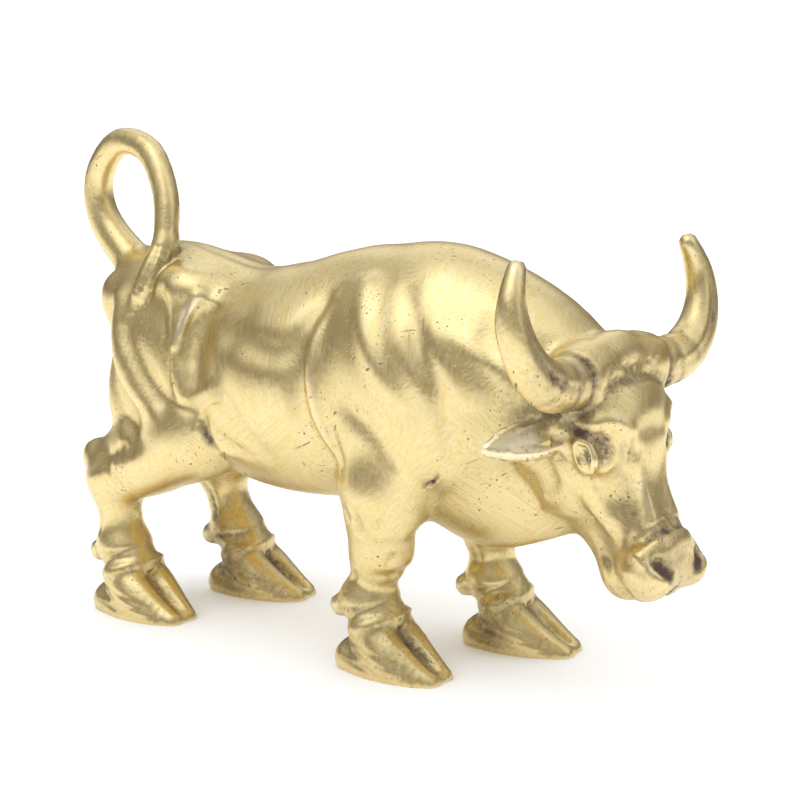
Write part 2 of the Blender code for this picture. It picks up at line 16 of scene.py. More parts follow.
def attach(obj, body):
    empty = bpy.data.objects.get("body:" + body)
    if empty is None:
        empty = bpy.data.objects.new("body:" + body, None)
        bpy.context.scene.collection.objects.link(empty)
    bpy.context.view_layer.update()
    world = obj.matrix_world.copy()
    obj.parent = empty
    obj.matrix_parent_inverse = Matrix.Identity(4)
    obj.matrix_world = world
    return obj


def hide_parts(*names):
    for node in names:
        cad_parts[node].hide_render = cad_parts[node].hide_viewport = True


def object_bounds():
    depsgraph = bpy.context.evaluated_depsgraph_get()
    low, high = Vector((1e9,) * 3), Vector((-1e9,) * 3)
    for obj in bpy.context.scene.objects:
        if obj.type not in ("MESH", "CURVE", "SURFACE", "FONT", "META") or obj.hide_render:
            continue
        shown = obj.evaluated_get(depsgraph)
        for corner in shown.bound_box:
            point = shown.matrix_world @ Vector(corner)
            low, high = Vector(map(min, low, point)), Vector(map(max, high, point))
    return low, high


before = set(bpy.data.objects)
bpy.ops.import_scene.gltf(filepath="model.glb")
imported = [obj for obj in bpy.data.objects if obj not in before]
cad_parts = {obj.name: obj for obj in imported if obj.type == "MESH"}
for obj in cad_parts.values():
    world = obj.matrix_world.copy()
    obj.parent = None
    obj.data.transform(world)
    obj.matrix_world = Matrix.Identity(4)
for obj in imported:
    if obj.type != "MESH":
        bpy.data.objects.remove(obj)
CAD_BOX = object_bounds()

log = logging.getLogger("bull")

SHOULDER_HEIGHT = 0.088  # metres, and the unit of all that is modelled below
MIDDLE = (0.0973, 0.0)  # the middle of the box, from where the figure's coordinates start
FAR = 9.0  # shoulder heights, further than any point is from the clay
TINY = 1e-9  # keeps a division away from zero


class Side(Enum):
    """A side of the bull or of a leg, by the sign of its y."""

    LEFT = 1.0
    RIGHT = -1.0


class Fineness(Enum):
    """The grain that the skin is fused at, in shoulder heights."""

    DRAFT = 0.0180
    FULL = 0.0145


# Clay: lumps that flow into each other, and strokes that are pressed into them.


def turned(pitch: float = 0.0, yaw: float = 0.0, roll: float = 0.0) -> np.ndarray:
    """The axes of a lump turned by angles in degrees.

    Args:
        pitch: Lowers the front end where it is positive.
        yaw: Turns the front end to the left.
        roll: Leans the lump to the right.

    Returns:
        A three by three array whose columns are the axes.
    """
    angles = Euler((math.radians(roll), math.radians(pitch), math.radians(yaw)))
    return np.array(angles.to_matrix())


def curve_through(stations: list, steps: int) -> np.ndarray:
    """Points on a smooth curve through stations, which may carry a radius too.

    Args:
        stations: The places that the curve runs through.
        steps: How many points each stretch between two stations gets.

    Returns:
        One row for each point.
    """
    known = np.array(stations, float)
    if len(known) == 2:
        return known[0] + (known[1] - known[0]) * np.linspace(0, 1, steps + 1)[:, None]
    ends = np.vstack([2 * known[0] - known[1], known, 2 * known[-1] - known[-2]])
    found = []
    for before, start, end, after in zip(ends, ends[1:], ends[2:], ends[3:]):
        for share in np.arange(steps) / steps:
            bend = 2 * before - 5 * start + 4 * end - after
            twist = 3 * start - before - 3 * end + after
            place = 2 * start + (end - before) * share + bend * share**2 + twist * share**3
            found.append(0.5 * place)
    return np.vstack([found, known[-1]])


@dataclass
class Egg:
    """An ellipsoid lump of clay."""

    centre: tuple
    radii: tuple
    pitch: float = 0.0
    yaw: float = 0.0
    roll: float = 0.0
    blend: float = 0.05
    axes: np.ndarray | None = None
    reach: float = 0.0

    def __post_init__(self) -> None:
        """Works out the axes and the reach."""
        self.centre = np.array(self.centre, float)
        self.radii = np.array(self.radii, float)
        if self.axes is None:
            self.axes = turned(self.pitch, self.yaw, self.roll)
        self.reach = float(self.radii.max())

    def distance(self, points: np.ndarray) -> np.ndarray:
        """Roughly how far each point is outside the lump.

        Args:
            points: One row for each point.

        Returns:
            One distance for each point.
        """
        scaled = ((points - self.centre) @ self.axes) / self.radii
        length = np.linalg.norm(scaled, axis=1)
        steepness = np.linalg.norm(scaled / self.radii, axis=1)
        return length * (length - 1) / np.maximum(steepness, TINY)

    def placed(self, axes: np.ndarray, origin: np.ndarray, scale: float) -> "Egg":
        """The same lump in a frame whose axes, origin and scale are given."""
        centre = origin + scale * axes @ self.centre
        return Egg(centre, self.radii * scale, blend=self.blend * scale, axes=axes @ self.axes)

    def mirrored(self) -> "Egg":
        """The same lump on the other flank."""
        flip = np.diag([1.0, -1.0, 1.0])
        return Egg(flip @ self.centre, self.radii, blend=self.blend, axes=flip @ self.axes @ flip)

    def add_to(self, clay: bmesh.types.BMesh, padding: float) -> None:
        """Puts the lump into a bmesh as a ball that is stretched and turned.

        Args:
            clay: The bmesh that gathers the lumps.
            padding: How much fatter they are made.
        """
        shape = Matrix.Translation(self.centre) @ Matrix(self.axes.tolist()).to_4x4()
        shape = shape @ Matrix.Diagonal((*(self.radii + padding), 1.0))
        bmesh.ops.create_icosphere(clay, subdivisions=3, radius=1.0, matrix=shape)


@dataclass
class Rope:
    """A rope of clay through stations of (x, y, z, radius)."""

    stations: list
    steps: int = 5
    blend: float = 0.03
    beads: np.ndarray | None = None
    centre: np.ndarray | None = None
    reach: float = 0.0

    RING_POINTS = 13
    OFF_AXIS = (0.31, 0.52, 0.79)  # a direction that no rope runs in

    def __post_init__(self) -> None:
        """Works out the beads that the rope runs through, and its reach."""
        self.stations = np.array(self.stations, float)
        self.beads = curve_through(self.stations, self.steps)
        self.centre = self.beads[:, :3].mean(axis=0)
        spread = np.linalg.norm(self.beads[:, :3] - self.centre, axis=1)
        self.reach = float((spread + self.beads[:, 3]).max())

    def distance(self, points: np.ndarray) -> np.ndarray:
        """Roughly how far each point is outside the rope.

        Args:
            points: One row for each point.

        Returns:
            One distance for each point.
        """
        nearest = np.full(len(points), FAR)
        for start, end in zip(self.beads, self.beads[1:]):
            run = end[:3] - start[:3]
            share = np.clip(((points - start[:3]) @ run) / max(run @ run, TINY), 0, 1)
            gap = np.linalg.norm(points - start[:3] - share[:, None] * run, axis=1)
            nearest = np.minimum(nearest, gap - start[3] - share * (end[3] - start[3]))
        return nearest

    def placed(self, axes: np.ndarray, origin: np.ndarray, scale: float) -> "Rope":
        """The same rope in a frame whose axes, origin and scale are given.

        Args:
            axes: The frame's axes, as columns.
            origin: Its start.
            scale: How much larger it makes things.

        Returns:
            The rope.
        """
        stations = self.stations * scale
        stations[:, :3] = origin + stations[:, :3] @ axes.T
        return Rope(stations, self.steps, self.blend * scale)

    def mirrored(self) -> "Rope":
        """The same rope on the other flank."""
        return Rope(self.stations * (1, -1, 1, 1), self.steps, self.blend)

    def add_to(self, clay: bmesh.types.BMesh, padding: float) -> None:
        """Puts the rope into a bmesh as beads that overlap.

        Args:
            clay: The bmesh that gathers the lumps.
            padding: How much fatter they are made.
        """
        for x, y, z, radius in self.beads:
            place = Matrix.Translation((x, y, z))
            bmesh.ops.create_icosphere(clay, subdivisions=1, radius=radius + padding, matrix=place)

    def ring(self, at: int, width: float, depth: float) -> "Stroke":
        """A groove that runs once round the rope.

        Args:
            at: The number of the bead that the groove goes round.
            width: The groove's width.
            depth: How deep it is pressed in.

        Returns:
            The groove, as a closed stroke.
        """
        place = self.beads[at, :3]
        run = self.beads[at + 1, :3] - self.beads[at - 1, :3]
        run = run / np.linalg.norm(run)
        aside = np.cross(run, self.OFF_AXIS)
        aside = aside / np.linalg.norm(aside)
        across = np.cross(run, aside)
        angles = np.linspace(0, 2 * math.pi, self.RING_POINTS)[:, None]
        points = place + self.beads[at, 3] * (np.cos(angles) * aside + np.sin(angles) * across)
        return Stroke(points, width, depth, steps=2, even=True)

    def line(self, outward: tuple, first: int, last: int, width: float, depth: float) -> "Stroke":
        """A groove that runs along the rope on the side given.

        Args:
            outward: The direction from the rope's middle to the groove.
            first: The bead that the groove starts at.
            last: The bead that it ends at.
            width: The groove's width.
            depth: How deep it is pressed in.

        Returns:
            The groove.
        """
        way = np.array(outward, float)
        points = []
        for at in range(first, last + 1):
            run = self.beads[min(at + 1, len(self.beads) - 1), :3] - self.beads[max(at - 1, 0), :3]
            run = run / np.linalg.norm(run)
            side = way - run * (way @ run)
            points.append(self.beads[at, :3] + side / np.linalg.norm(side) * self.beads[at, 3])
        return Stroke(points, width, depth, steps=2)


@dataclass
class Stroke:
    """A groove, or with a negative depth a ridge, pressed into the form along a curve."""

    points: list
    width: float
    depth: float
    steps: int = 4
    even: bool = False
    path: np.ndarray | None = None
    centre: np.ndarray | None = None
    reach: float = 0.0

    REACH = 2.5  # widths from the path at which the stroke no longer counts
    TAPER = 0.7  # how fast the stroke fades towards its ends

    def __post_init__(self) -> None:
        """Works out the path and its reach."""
        self.points = np.array(self.points, float)
        self.path = curve_through(self.points, self.steps)
        self.bound()

    def bound(self) -> None:
        """Finds the ball outside which the stroke does nothing."""
        self.centre = self.path.mean(axis=0)
        spread = np.linalg.norm(self.path - self.centre, axis=1).max()
        self.reach = float(spread + self.REACH * self.width)

    def trace(self, points: np.ndarray) -> tuple[np.ndarray, np.ndarray]:
        """How far each point is from the path, and how far along the path its nearest place is.

        Args:
            points: One row for each point.

        Returns:
            The distances, and the shares of the path's length, from 0 to 1.
        """
        nearest = np.full(len(points), FAR)
        along = np.zeros(len(points))
        runs = len(self.path) - 1
        for index in range(runs):
            start = self.path[index]
            run = self.path[index + 1] - start
            share = np.clip(((points - start) @ run) / max(run @ run, TINY), 0, 1)
            gap = np.linalg.norm(points - start - share[:, None] * run, axis=1)
            closer = gap < nearest
            along = np.where(closer, (index + share) / runs, along)
            nearest = np.where(closer, gap, nearest)
        return nearest, along

    def near(self, points: np.ndarray) -> np.ndarray:
        """Which points are inside the stroke's ball."""
        return np.linalg.norm(points - self.centre, axis=1) < self.reach

    def offset(self, points: np.ndarray) -> np.ndarray:
        """How far the surface moves in at each point.

        Args:
            points: One row for each point.

        Returns:
            One depth for each point, negative on a ridge.
        """
        found = np.zeros(len(points))
        close = self.near(points)
        if not close.any():
            return found
        nearest, along = self.trace(points[close])
        fade = np.ones(len(along))
        if not self.even:
            fade = np.clip(4 * along * (1 - along), 0.0, 1.0) ** self.TAPER
        found[close] = self.depth * fade * np.exp(-((nearest / self.width) ** 2))
        return found

    def placed(self, axes: np.ndarray, origin: np.ndarray, scale: float) -> "Stroke":
        """The same stroke in a frame whose axes, origin and scale are given."""
        points = origin + scale * self.points @ axes.T
        return Stroke(points, self.width * scale, self.depth * scale, self.steps, self.even)

    def mirrored(self) -> "Stroke":
        """The same stroke on the other flank."""
        return Stroke(self.points * (1, -1, 1), self.width, self.depth, self.steps, self.even)


def both(*shapes: Egg | Rope | Stroke) -> list:
    """The shapes and their mirror images."""
    return [copy for shape in shapes for copy in (shape, shape.mirrored())]


@dataclass
class Clay:
    """Lumps, in the order that they are blended, and the strokes pressed into their blend."""

    lumps: list = field(default_factory=list)
    strokes: list = field(default_factory=list)

    LAYING_ROUNDS = 4
    LEAST_STEEPNESS = 0.2
    BLENDS_OUT = 3  # blends outside a lump at which it no longer counts
    MARGIN = 0.05
    FULL_CARVING = 0.85  # the depth that counts as fully carved, in widths
    FINE_REACH = 1.9  # widths from a fine stroke in which the skin is divided

    def take(self, other: "Clay") -> None:
        """Adds another body of clay to this one."""
        self.lumps += other.lumps
        self.strokes += other.strokes

    def placed(self, axes: np.ndarray, origin: np.ndarray, scale: float) -> "Clay":
        """The same clay in a frame whose axes, origin and scale are given.

        Args:
            axes: The frame's axes, as columns.
            origin: Its start.
            scale: How much larger it makes things.

        Returns:
            The clay.
        """
        lumps = [lump.placed(axes, origin, scale) for lump in self.lumps]
        strokes = [stroke.placed(axes, origin, scale) for stroke in self.strokes]
        return Clay(lumps, strokes)

    def blended(self, points: np.ndarray, carved: bool = True) -> np.ndarray:
        """How far each point is outside the blended form.

        Args:
            points: One row for each point.
            carved: Whether the strokes count.

        Returns:
            One distance for each point.
        """
        form = np.full(len(points), FAR)
        for lump in self.lumps:
            away = np.linalg.norm(points - lump.centre, axis=1)
            near = away < lump.reach + self.BLENDS_OUT * lump.blend + self.MARGIN
            if not near.any():
                continue
            found = lump.distance(points[near])
            before = form[near]
            ease = np.maximum(lump.blend - np.abs(before - found), 0) / lump.blend
            form[near] = np.minimum(before, found) - ease * ease * lump.blend / 4
        if carved:
            for stroke in self.strokes:
                form += stroke.offset(points)
        return form

    def downhill(
        self, points: np.ndarray, value: np.ndarray, carved: bool, step: float = 0.0015
    ) -> np.ndarray:
        """The way from each point to the surface, by the slope of the distance there.

        Args:
            points: One row for each point.
            value: How far each is outside the form, or the part of that to go.
            carved: Whether the strokes count.
            step: How far apart the slope is measured.

        Returns:
            One move for each point.
        """
        here = self.blended(points, carved)
        slope = np.empty_like(points)
        for axis in range(3):
            moved = points.copy()
            moved[:, axis] += step
            slope[:, axis] = (self.blended(moved, carved) - here) / step
        steepness = np.maximum((slope * slope).sum(axis=1), self.LEAST_STEEPNESS)
        return -slope * (value / steepness)[:, None]

    def lay_strokes(self) -> None:
        """Draws the strokes' paths onto the lumps' blend."""
        points = np.vstack([stroke.path for stroke in self.strokes])
        for _ in range(self.LAYING_ROUNDS):
            points = points + self.downhill(points, self.blended(points, carved=False), carved=False)
        ends = np.cumsum([len(stroke.path) for stroke in self.strokes])
        for stroke, path in zip(self.strokes, np.split(points, ends[:-1])):
            stroke.path = path
            stroke.bound()

    def carving(self, points: np.ndarray, width: float = 0.019) -> np.ndarray:
        """How far each point lies in a narrow groove, from 1 in one to -1 on a ridge.

        Args:
            points: One row for each point.
            width: The width from which a stroke is too broad to count.

        Returns:
            One share for each point.
        """
        found = np.zeros(len(points))
        for stroke in self.strokes:
            if stroke.width < width:
                found += stroke.offset(points) / (self.FULL_CARVING * stroke.width)
        return np.clip(found, -1, 1)

    def finely_carved(self, points: np.ndarray, width: float) -> np.ndarray:
        """Which points are on or by a stroke that is narrower than a width.

        Args:
            points: One row for each point.
            width: The width up to which a stroke counts.

        Returns:
            A yes or no for each point.
        """
        found = np.zeros(len(points), bool)
        for stroke in self.strokes:
            if stroke.width > width:
                continue
            close = stroke.near(points)
            if close.any():
                nearest, _ = stroke.trace(points[close])
                found[close] |= nearest < self.FINE_REACH * stroke.width
        return found


# The bull's parts, in shoulder heights.


@dataclass
class Trunk:
    """Barrel, chest, croup and neck, with the folds of hide and muscle over them."""

    barrel: tuple = (0.42, 0.240, 0.290)
    belly: tuple = (0.34, 0.228, 0.250)
    croup: tuple = (0.25, 0.185, 0.210)
    chest: tuple = (0.24, 0.215, 0.285)

    def masses(self) -> list:
        """The lumps of the trunk.

        Returns:
            The lumps, in the order that they are blended.
        """
        neck = [(0.34, 0, 0.745, 0.240), (0.54, 0, 0.700, 0.215), (0.72, 0, 0.645, 0.165)]
        return [
            Egg((0.05, 0, 0.665), self.barrel, pitch=2, blend=0.05),
            Egg((-0.15, 0, 0.625), self.belly, blend=0.10),
            Egg((-0.43, 0, 0.745), self.croup, pitch=-4, blend=0.10),
            Egg((-0.54, 0, 0.835), (0.14, 0.120, 0.110), pitch=-16, blend=0.08),
            Egg((0.36, 0, 0.640), self.chest, blend=0.10),
            Rope(neck, blend=0.10),
            Egg((0.22, 0, 0.885), (0.22, 0.090, 0.110), pitch=4, blend=0.09),
            Egg((0.48, 0, 0.865), (0.24, 0.120, 0.105), pitch=20, blend=0.08),
            Egg((0.50, 0, 0.430), (0.16, 0.100, 0.120), pitch=-25, blend=0.09),
            Egg((0.64, 0, 0.490), (0.19, 0.045, 0.130), pitch=-22, blend=0.07),
            *both(
                Egg((-0.36, 0.140, 0.880), (0.060, 0.040, 0.035), pitch=10, blend=0.08),
                Egg((-0.640, 0.080, 0.820), (0.035, 0.030, 0.045), blend=0.06),
            ),
        ]

    def shoulder(self) -> list:
        """Blade and upper arm of the left foreleg.

        Returns:
            The lumps.
        """
        return [
            Egg((0.26, 0.150, 0.730), (0.105, 0.085, 0.215), pitch=-26, roll=6, blend=0.045),
            Egg((0.385, 0.165, 0.590), (0.085, 0.072, 0.110), pitch=-10, blend=0.045),
            Egg((0.270, 0.180, 0.545), (0.135, 0.068, 0.100), pitch=30, blend=0.045),
        ]

    def main_folds(self) -> list:
        """The broad folds, which the solid frame has too.

        Returns:
            The strokes of both flanks.
        """
        behind_shoulder = [(0.10, 0.2, 0.93), (0.06, 0.24, 0.78), (0.08, 0.25, 0.62), (0.14, 0.24, 0.46)]
        blade = [(0.19, 0.12, 0.95), (0.27, 0.22, 0.80), (0.37, 0.24, 0.66)]
        before_shoulder = [(0.31, 0.15, 0.95), (0.41, 0.22, 0.80), (0.48, 0.22, 0.66), (0.47, 0.20, 0.50)]
        crest = [(0.44, 0.2, 0.86), (0.58, 0.2, 0.79), (0.72, 0.17, 0.70)]
        throat = [(0.50, 0.2, 0.66), (0.60, 0.2, 0.60), (0.70, 0.17, 0.55)]
        last_rib = [(-0.10, 0.2, 0.88), (-0.17, 0.23, 0.74), (-0.14, 0.24, 0.60), (-0.02, 0.22, 0.46)]
        flank = [(-0.25, 0.18, 0.86), (-0.27, 0.2, 0.75), (-0.23, 0.22, 0.64)]
        behind_thigh = [(-0.60, 0.12, 0.82), (-0.56, 0.16, 0.66), (-0.52, 0.18, 0.52)]
        return both(
            Stroke(behind_shoulder, 0.026, 0.020),
            Stroke(blade, 0.022, -0.016),
            Stroke(before_shoulder, 0.024, 0.018),
            Stroke(crest, 0.026, -0.010),
            Stroke(throat, 0.024, 0.014),
            Stroke(last_rib, 0.030, 0.012),
            Stroke(flank, 0.045, 0.024),
            Stroke([(-0.25, 0.19, 0.56), (-0.16, 0.2, 0.46)], 0.024, -0.012),
            Stroke(behind_thigh, 0.022, 0.014),
        )

    def fine_folds(self) -> list:
        """Creases of the hide: spine, shoulder, haunch, neck, upper arm and flank.

        Returns:
            The strokes of both flanks.
        """
        spine = [(0.12, 0, 0.99), (-0.10, 0, 0.93), (-0.30, 0, 0.96), (-0.48, 0, 0.96)]
        deltoid = [(0.20, 0.2, 0.68), (0.29, 0.22, 0.61), (0.37, 0.22, 0.52)]
        triceps = [(0.16, 0.2, 0.62), (0.185, 0.22, 0.53), (0.245, 0.2, 0.46)]
        neck = [(0.52, 0.12, 0.88), (0.575, 0.2, 0.76), (0.57, 0.19, 0.64), (0.52, 0.12, 0.54)]
        nape = [(0.66, 0.10, 0.84), (0.68, 0.18, 0.76), (0.665, 0.18, 0.66)]
        shoulder_edge = [(0.125, 0.15, 0.93), (0.098, 0.23, 0.78), (0.118, 0.24, 0.62), (0.175, 0.23, 0.48)]
        back_edge = [(-0.23, 0.2, 0.80), (-0.10, 0.2, 0.765), (0.00, 0.22, 0.755), (0.07, 0.22, 0.80)]
        hip_ridge = [(-0.285, 0.16, 0.875), (-0.315, 0.2, 0.80), (-0.335, 0.2, 0.72)]
        haunch_line = [(-0.385, 0.14, 0.90), (-0.365, 0.2, 0.78), (-0.335, 0.2, 0.66), (-0.285, 0.2, 0.56)]
        return [Stroke(spine, 0.022, 0.007)] + both(
            Stroke(shoulder_edge, 0.015, -0.011),
            Stroke(back_edge, 0.036, 0.013),
            Stroke(hip_ridge, 0.014, -0.012),
            Stroke([(-0.245, 0.2, 0.84), (-0.275, 0.2, 0.77), (-0.295, 0.2, 0.68)], 0.024, 0.006),
            Stroke(haunch_line, 0.014, 0.010),
            Stroke([(-0.262, 0.2, 0.560), (-0.235, 0.2, 0.515), (-0.200, 0.2, 0.485)], 0.013, 0.011),
            Stroke(deltoid, 0.020, 0.010),
            Stroke(triceps, 0.018, 0.010),
            Stroke(neck, 0.022, 0.006),
            Stroke(nape, 0.018, 0.007),
            Stroke([(-0.215, 0.2, 0.545), (-0.15, 0.21, 0.505), (-0.08, 0.2, 0.485)], 0.018, 0.006),
        )

    def fissure(self) -> list:
        """The ragged casting fissure between neck and near foreleg."""
        path = [(0.445, -0.2, 0.520), (0.432, -0.2, 0.498), (0.412, -0.2, 0.488), (0.398, -0.2, 0.470)]
        return [Stroke(path, 0.0055, 0.0050), Stroke([(0.43, -0.2, 0.50), (0.42, -0.2, 0.47)], 0.005, 0.004)]


@dataclass
class Hoof:
    """A cloven hoof, in a frame with X to its toe, from the ground under its coronet."""

    scale: float = 1.32
    wall_height: float = 0.070
    ring_heights: tuple = (0.30, 0.55, 0.80)
    ring_width: float = 0.0060
    ring_depth: float = 0.0013

    def clay(self) -> Clay:
        """The two claws with their cleft and growth rings.

        Returns:
            Their lumps and strokes, in the hoof's frame.
        """
        front = [(-0.005, 0.030, 0.080, 0.034), (0.050, 0.030, 0.046, 0.029), (0.124, 0.020, 0.007, 0.012)]
        sole = [(-0.044, 0.028, 0.018, 0.034), (0.030, 0.031, 0.004, 0.037), (0.122, 0.020, -0.004, 0.016)]
        wall = [(-0.005, 0.044, 0.072, 0.020), (0.045, 0.049, 0.028, 0.018), (0.100, 0.035, -0.002, 0.012)]
        web = [(0.000, 0, 0.074, 0.032), (0.050, 0, 0.042, 0.025), (0.114, 0, 0.004, 0.013)]
        claw = [Rope(front, blend=0.012), Rope(sole, blend=0.032), Rope(wall, blend=0.020)]
        cleft = [(0.036, 0, 0.090), (0.080, 0, 0.056), (0.132, 0, 0.012)]
        strokes = [
            Stroke(cleft, 0.011, 0.010),
            Stroke([(-0.074, 0, 0.060), (-0.082, 0, 0.034), (-0.078, 0, 0.010)], 0.010, 0.008),
        ]
        for share in self.ring_heights:
            height = self.wall_height * (1 - share)
            ring = [
                (-0.055, 0.040, height * 0.8 + 0.010),
                (0.000, 0.070, height + 0.006),
                (0.055, 0.062, height * 0.75 + 0.004),
                (0.100 + 0.010 * share, 0.036, height * 0.40 + 0.002),
            ]
            strokes += both(Stroke(ring, self.ring_width, self.ring_depth))
        lumps = [lump for part in claw for lump in both(part)]
        return Clay([*lumps, Rope(web, blend=0.010)], strokes)

    def at(self, coronet: np.ndarray, heading: float) -> Clay:
        """The hoof under a coronet, its toes turned to the heading in degrees."""
        origin = np.array([coronet[0], coronet[1], 0.0])
        return self.clay().placed(turned(yaw=heading), origin, self.scale)


@dataclass
class LowerLeg:
    """Cannon, fetlock with its dew claws, pastern and hoof."""

    knee: np.ndarray
    fetlock: np.ndarray
    heading: float
    thickness: float
    coronet_height: float = 0.122
    pastern_reach: float = 0.040
    coronet_ridge: tuple = (0.070, 0.090, 0.021)
    dew_claw: tuple = (0.024, 0.022, 0.028)

    def clay(self) -> Clay:
        """The lumps and strokes of the lower leg.

        Returns:
            The clay, with the hoof's.
        """
        forward = turned(yaw=self.heading) @ (1, 0, 0)
        aside = turned(yaw=self.heading) @ (0, 1, 0)
        knee, fetlock = self.knee, self.fetlock
        coronet = np.array([fetlock[0], fetlock[1], self.coronet_height]) + forward * self.pastern_reach
        middle = (knee + fetlock) / 2
        thick = self.thickness
        cannon = [(*knee, thick), (*middle, 0.88 * thick), (*fetlock, 0.96 * thick)]
        ridge = Egg(coronet - forward * 0.004, self.coronet_ridge, pitch=-20, yaw=self.heading, blend=0.010)
        found = Clay(
            [
                Rope(cannon, blend=0.03),
                Egg(fetlock + forward * 0.004, (0.068, 0.070, 0.050), yaw=self.heading, blend=0.03),
                Rope([(*fetlock, 0.054), (*coronet, 0.062)], steps=2, blend=0.03),
                ridge,
            ]
        )
        for side in Side:
            place = fetlock - forward * 0.064 + aside * (side.value * 0.032) - np.array([0, 0, 0.022])
            found.lumps.append(Egg(place, self.dew_claw, pitch=-30, yaw=self.heading, blend=0.014))
            out = aside * side.value
            tendon = [
                knee + out * 0.06 - forward * 0.022 + (0, 0, -0.03),
                middle + out * 0.06 - forward * 0.020,
                fetlock + out * 0.06 - forward * 0.028 + (0, 0, 0.03),
            ]
            found.strokes.append(Stroke(tendon, 0.010, 0.008))
            crease = [
                fetlock + out * 0.07 - forward * 0.030 + (0, 0, -0.016),
                fetlock + out * 0.06 + forward * 0.030 + (0, 0, -0.006),
                fetlock + out * 0.01 + forward * 0.070 + (0, 0, 0.006),
            ]
            found.strokes.append(Stroke(crease, 0.009, 0.0035))
        found.take(Hoof().at(coronet, self.heading))
        return found


@dataclass
class Foreleg:
    """Forearm, knee and what is below it."""

    elbow: tuple
    knee: tuple
    fetlock: tuple
    heading: float
    radii: tuple = (0.104, 0.090, 0.066)  # at the elbow, down the forearm and at the knee
    cannon: float = 0.064

    def clay(self) -> Clay:
        """The lumps and strokes of the foreleg.

        Returns:
            The clay, with the lower leg's.
        """
        side = math.copysign(1.0, self.elbow[1])
        elbow, knee, fetlock = (np.array(joint) for joint in (self.elbow, self.knee, self.fetlock))
        run = knee - elbow
        top, middle, low = self.radii
        found = Clay(
            [
                Rope([(*elbow, top), (*(elbow + 0.45 * run), middle), (*knee, low)], blend=0.05),
                Egg(elbow + 0.30 * run + (0.030, side * 0.026, 0), (0.060, 0.050, 0.105), blend=0.03),
                Egg(elbow + (-0.078, side * 0.006, 0.010), (0.044, 0.040, 0.052), blend=0.03),
                Egg(knee + (0.010, 0, 0.004), (0.070, 0.070, 0.064), blend=0.025),
            ]
        )
        out = np.array([0.0, side * 0.10, 0.0])
        forearm = [elbow + out + (-0.02, 0, -0.02), elbow + 0.5 * run + out, knee + out + (-0.01, 0, 0.07)]
        over_knee = [knee + out + (0.01, 0, 0.050), knee + (0.09, 0, 0.055), knee - out + (0.01, 0, 0.050)]
        under_knee = [
            knee + out + (0.01, 0, -0.050),
            knee + (0.09, 0, -0.050),
            knee - out + (0.01, 0, -0.050),
        ]
        found.strokes += [
            Stroke(forearm, 0.012, 0.009),
            Stroke([elbow + out + (0.06, 0, -0.04), elbow + 0.6 * run + out + (0.05, 0, 0)], 0.012, 0.006),
            Stroke([elbow + out + (-0.09, 0, -0.03), elbow + out + (-0.04, 0, -0.06)], 0.010, 0.007),
            Stroke(over_knee, 0.016, 0.005),
            Stroke(under_knee, 0.014, 0.006),
            Stroke([knee + out * 0.5 + (0.07, 0, 0.03), knee + out * 0.6 + (0.07, 0, -0.03)], 0.012, 0.004),
        ]
        found.take(LowerLeg(knee, fetlock, self.heading, self.cannon).clay())
        return found


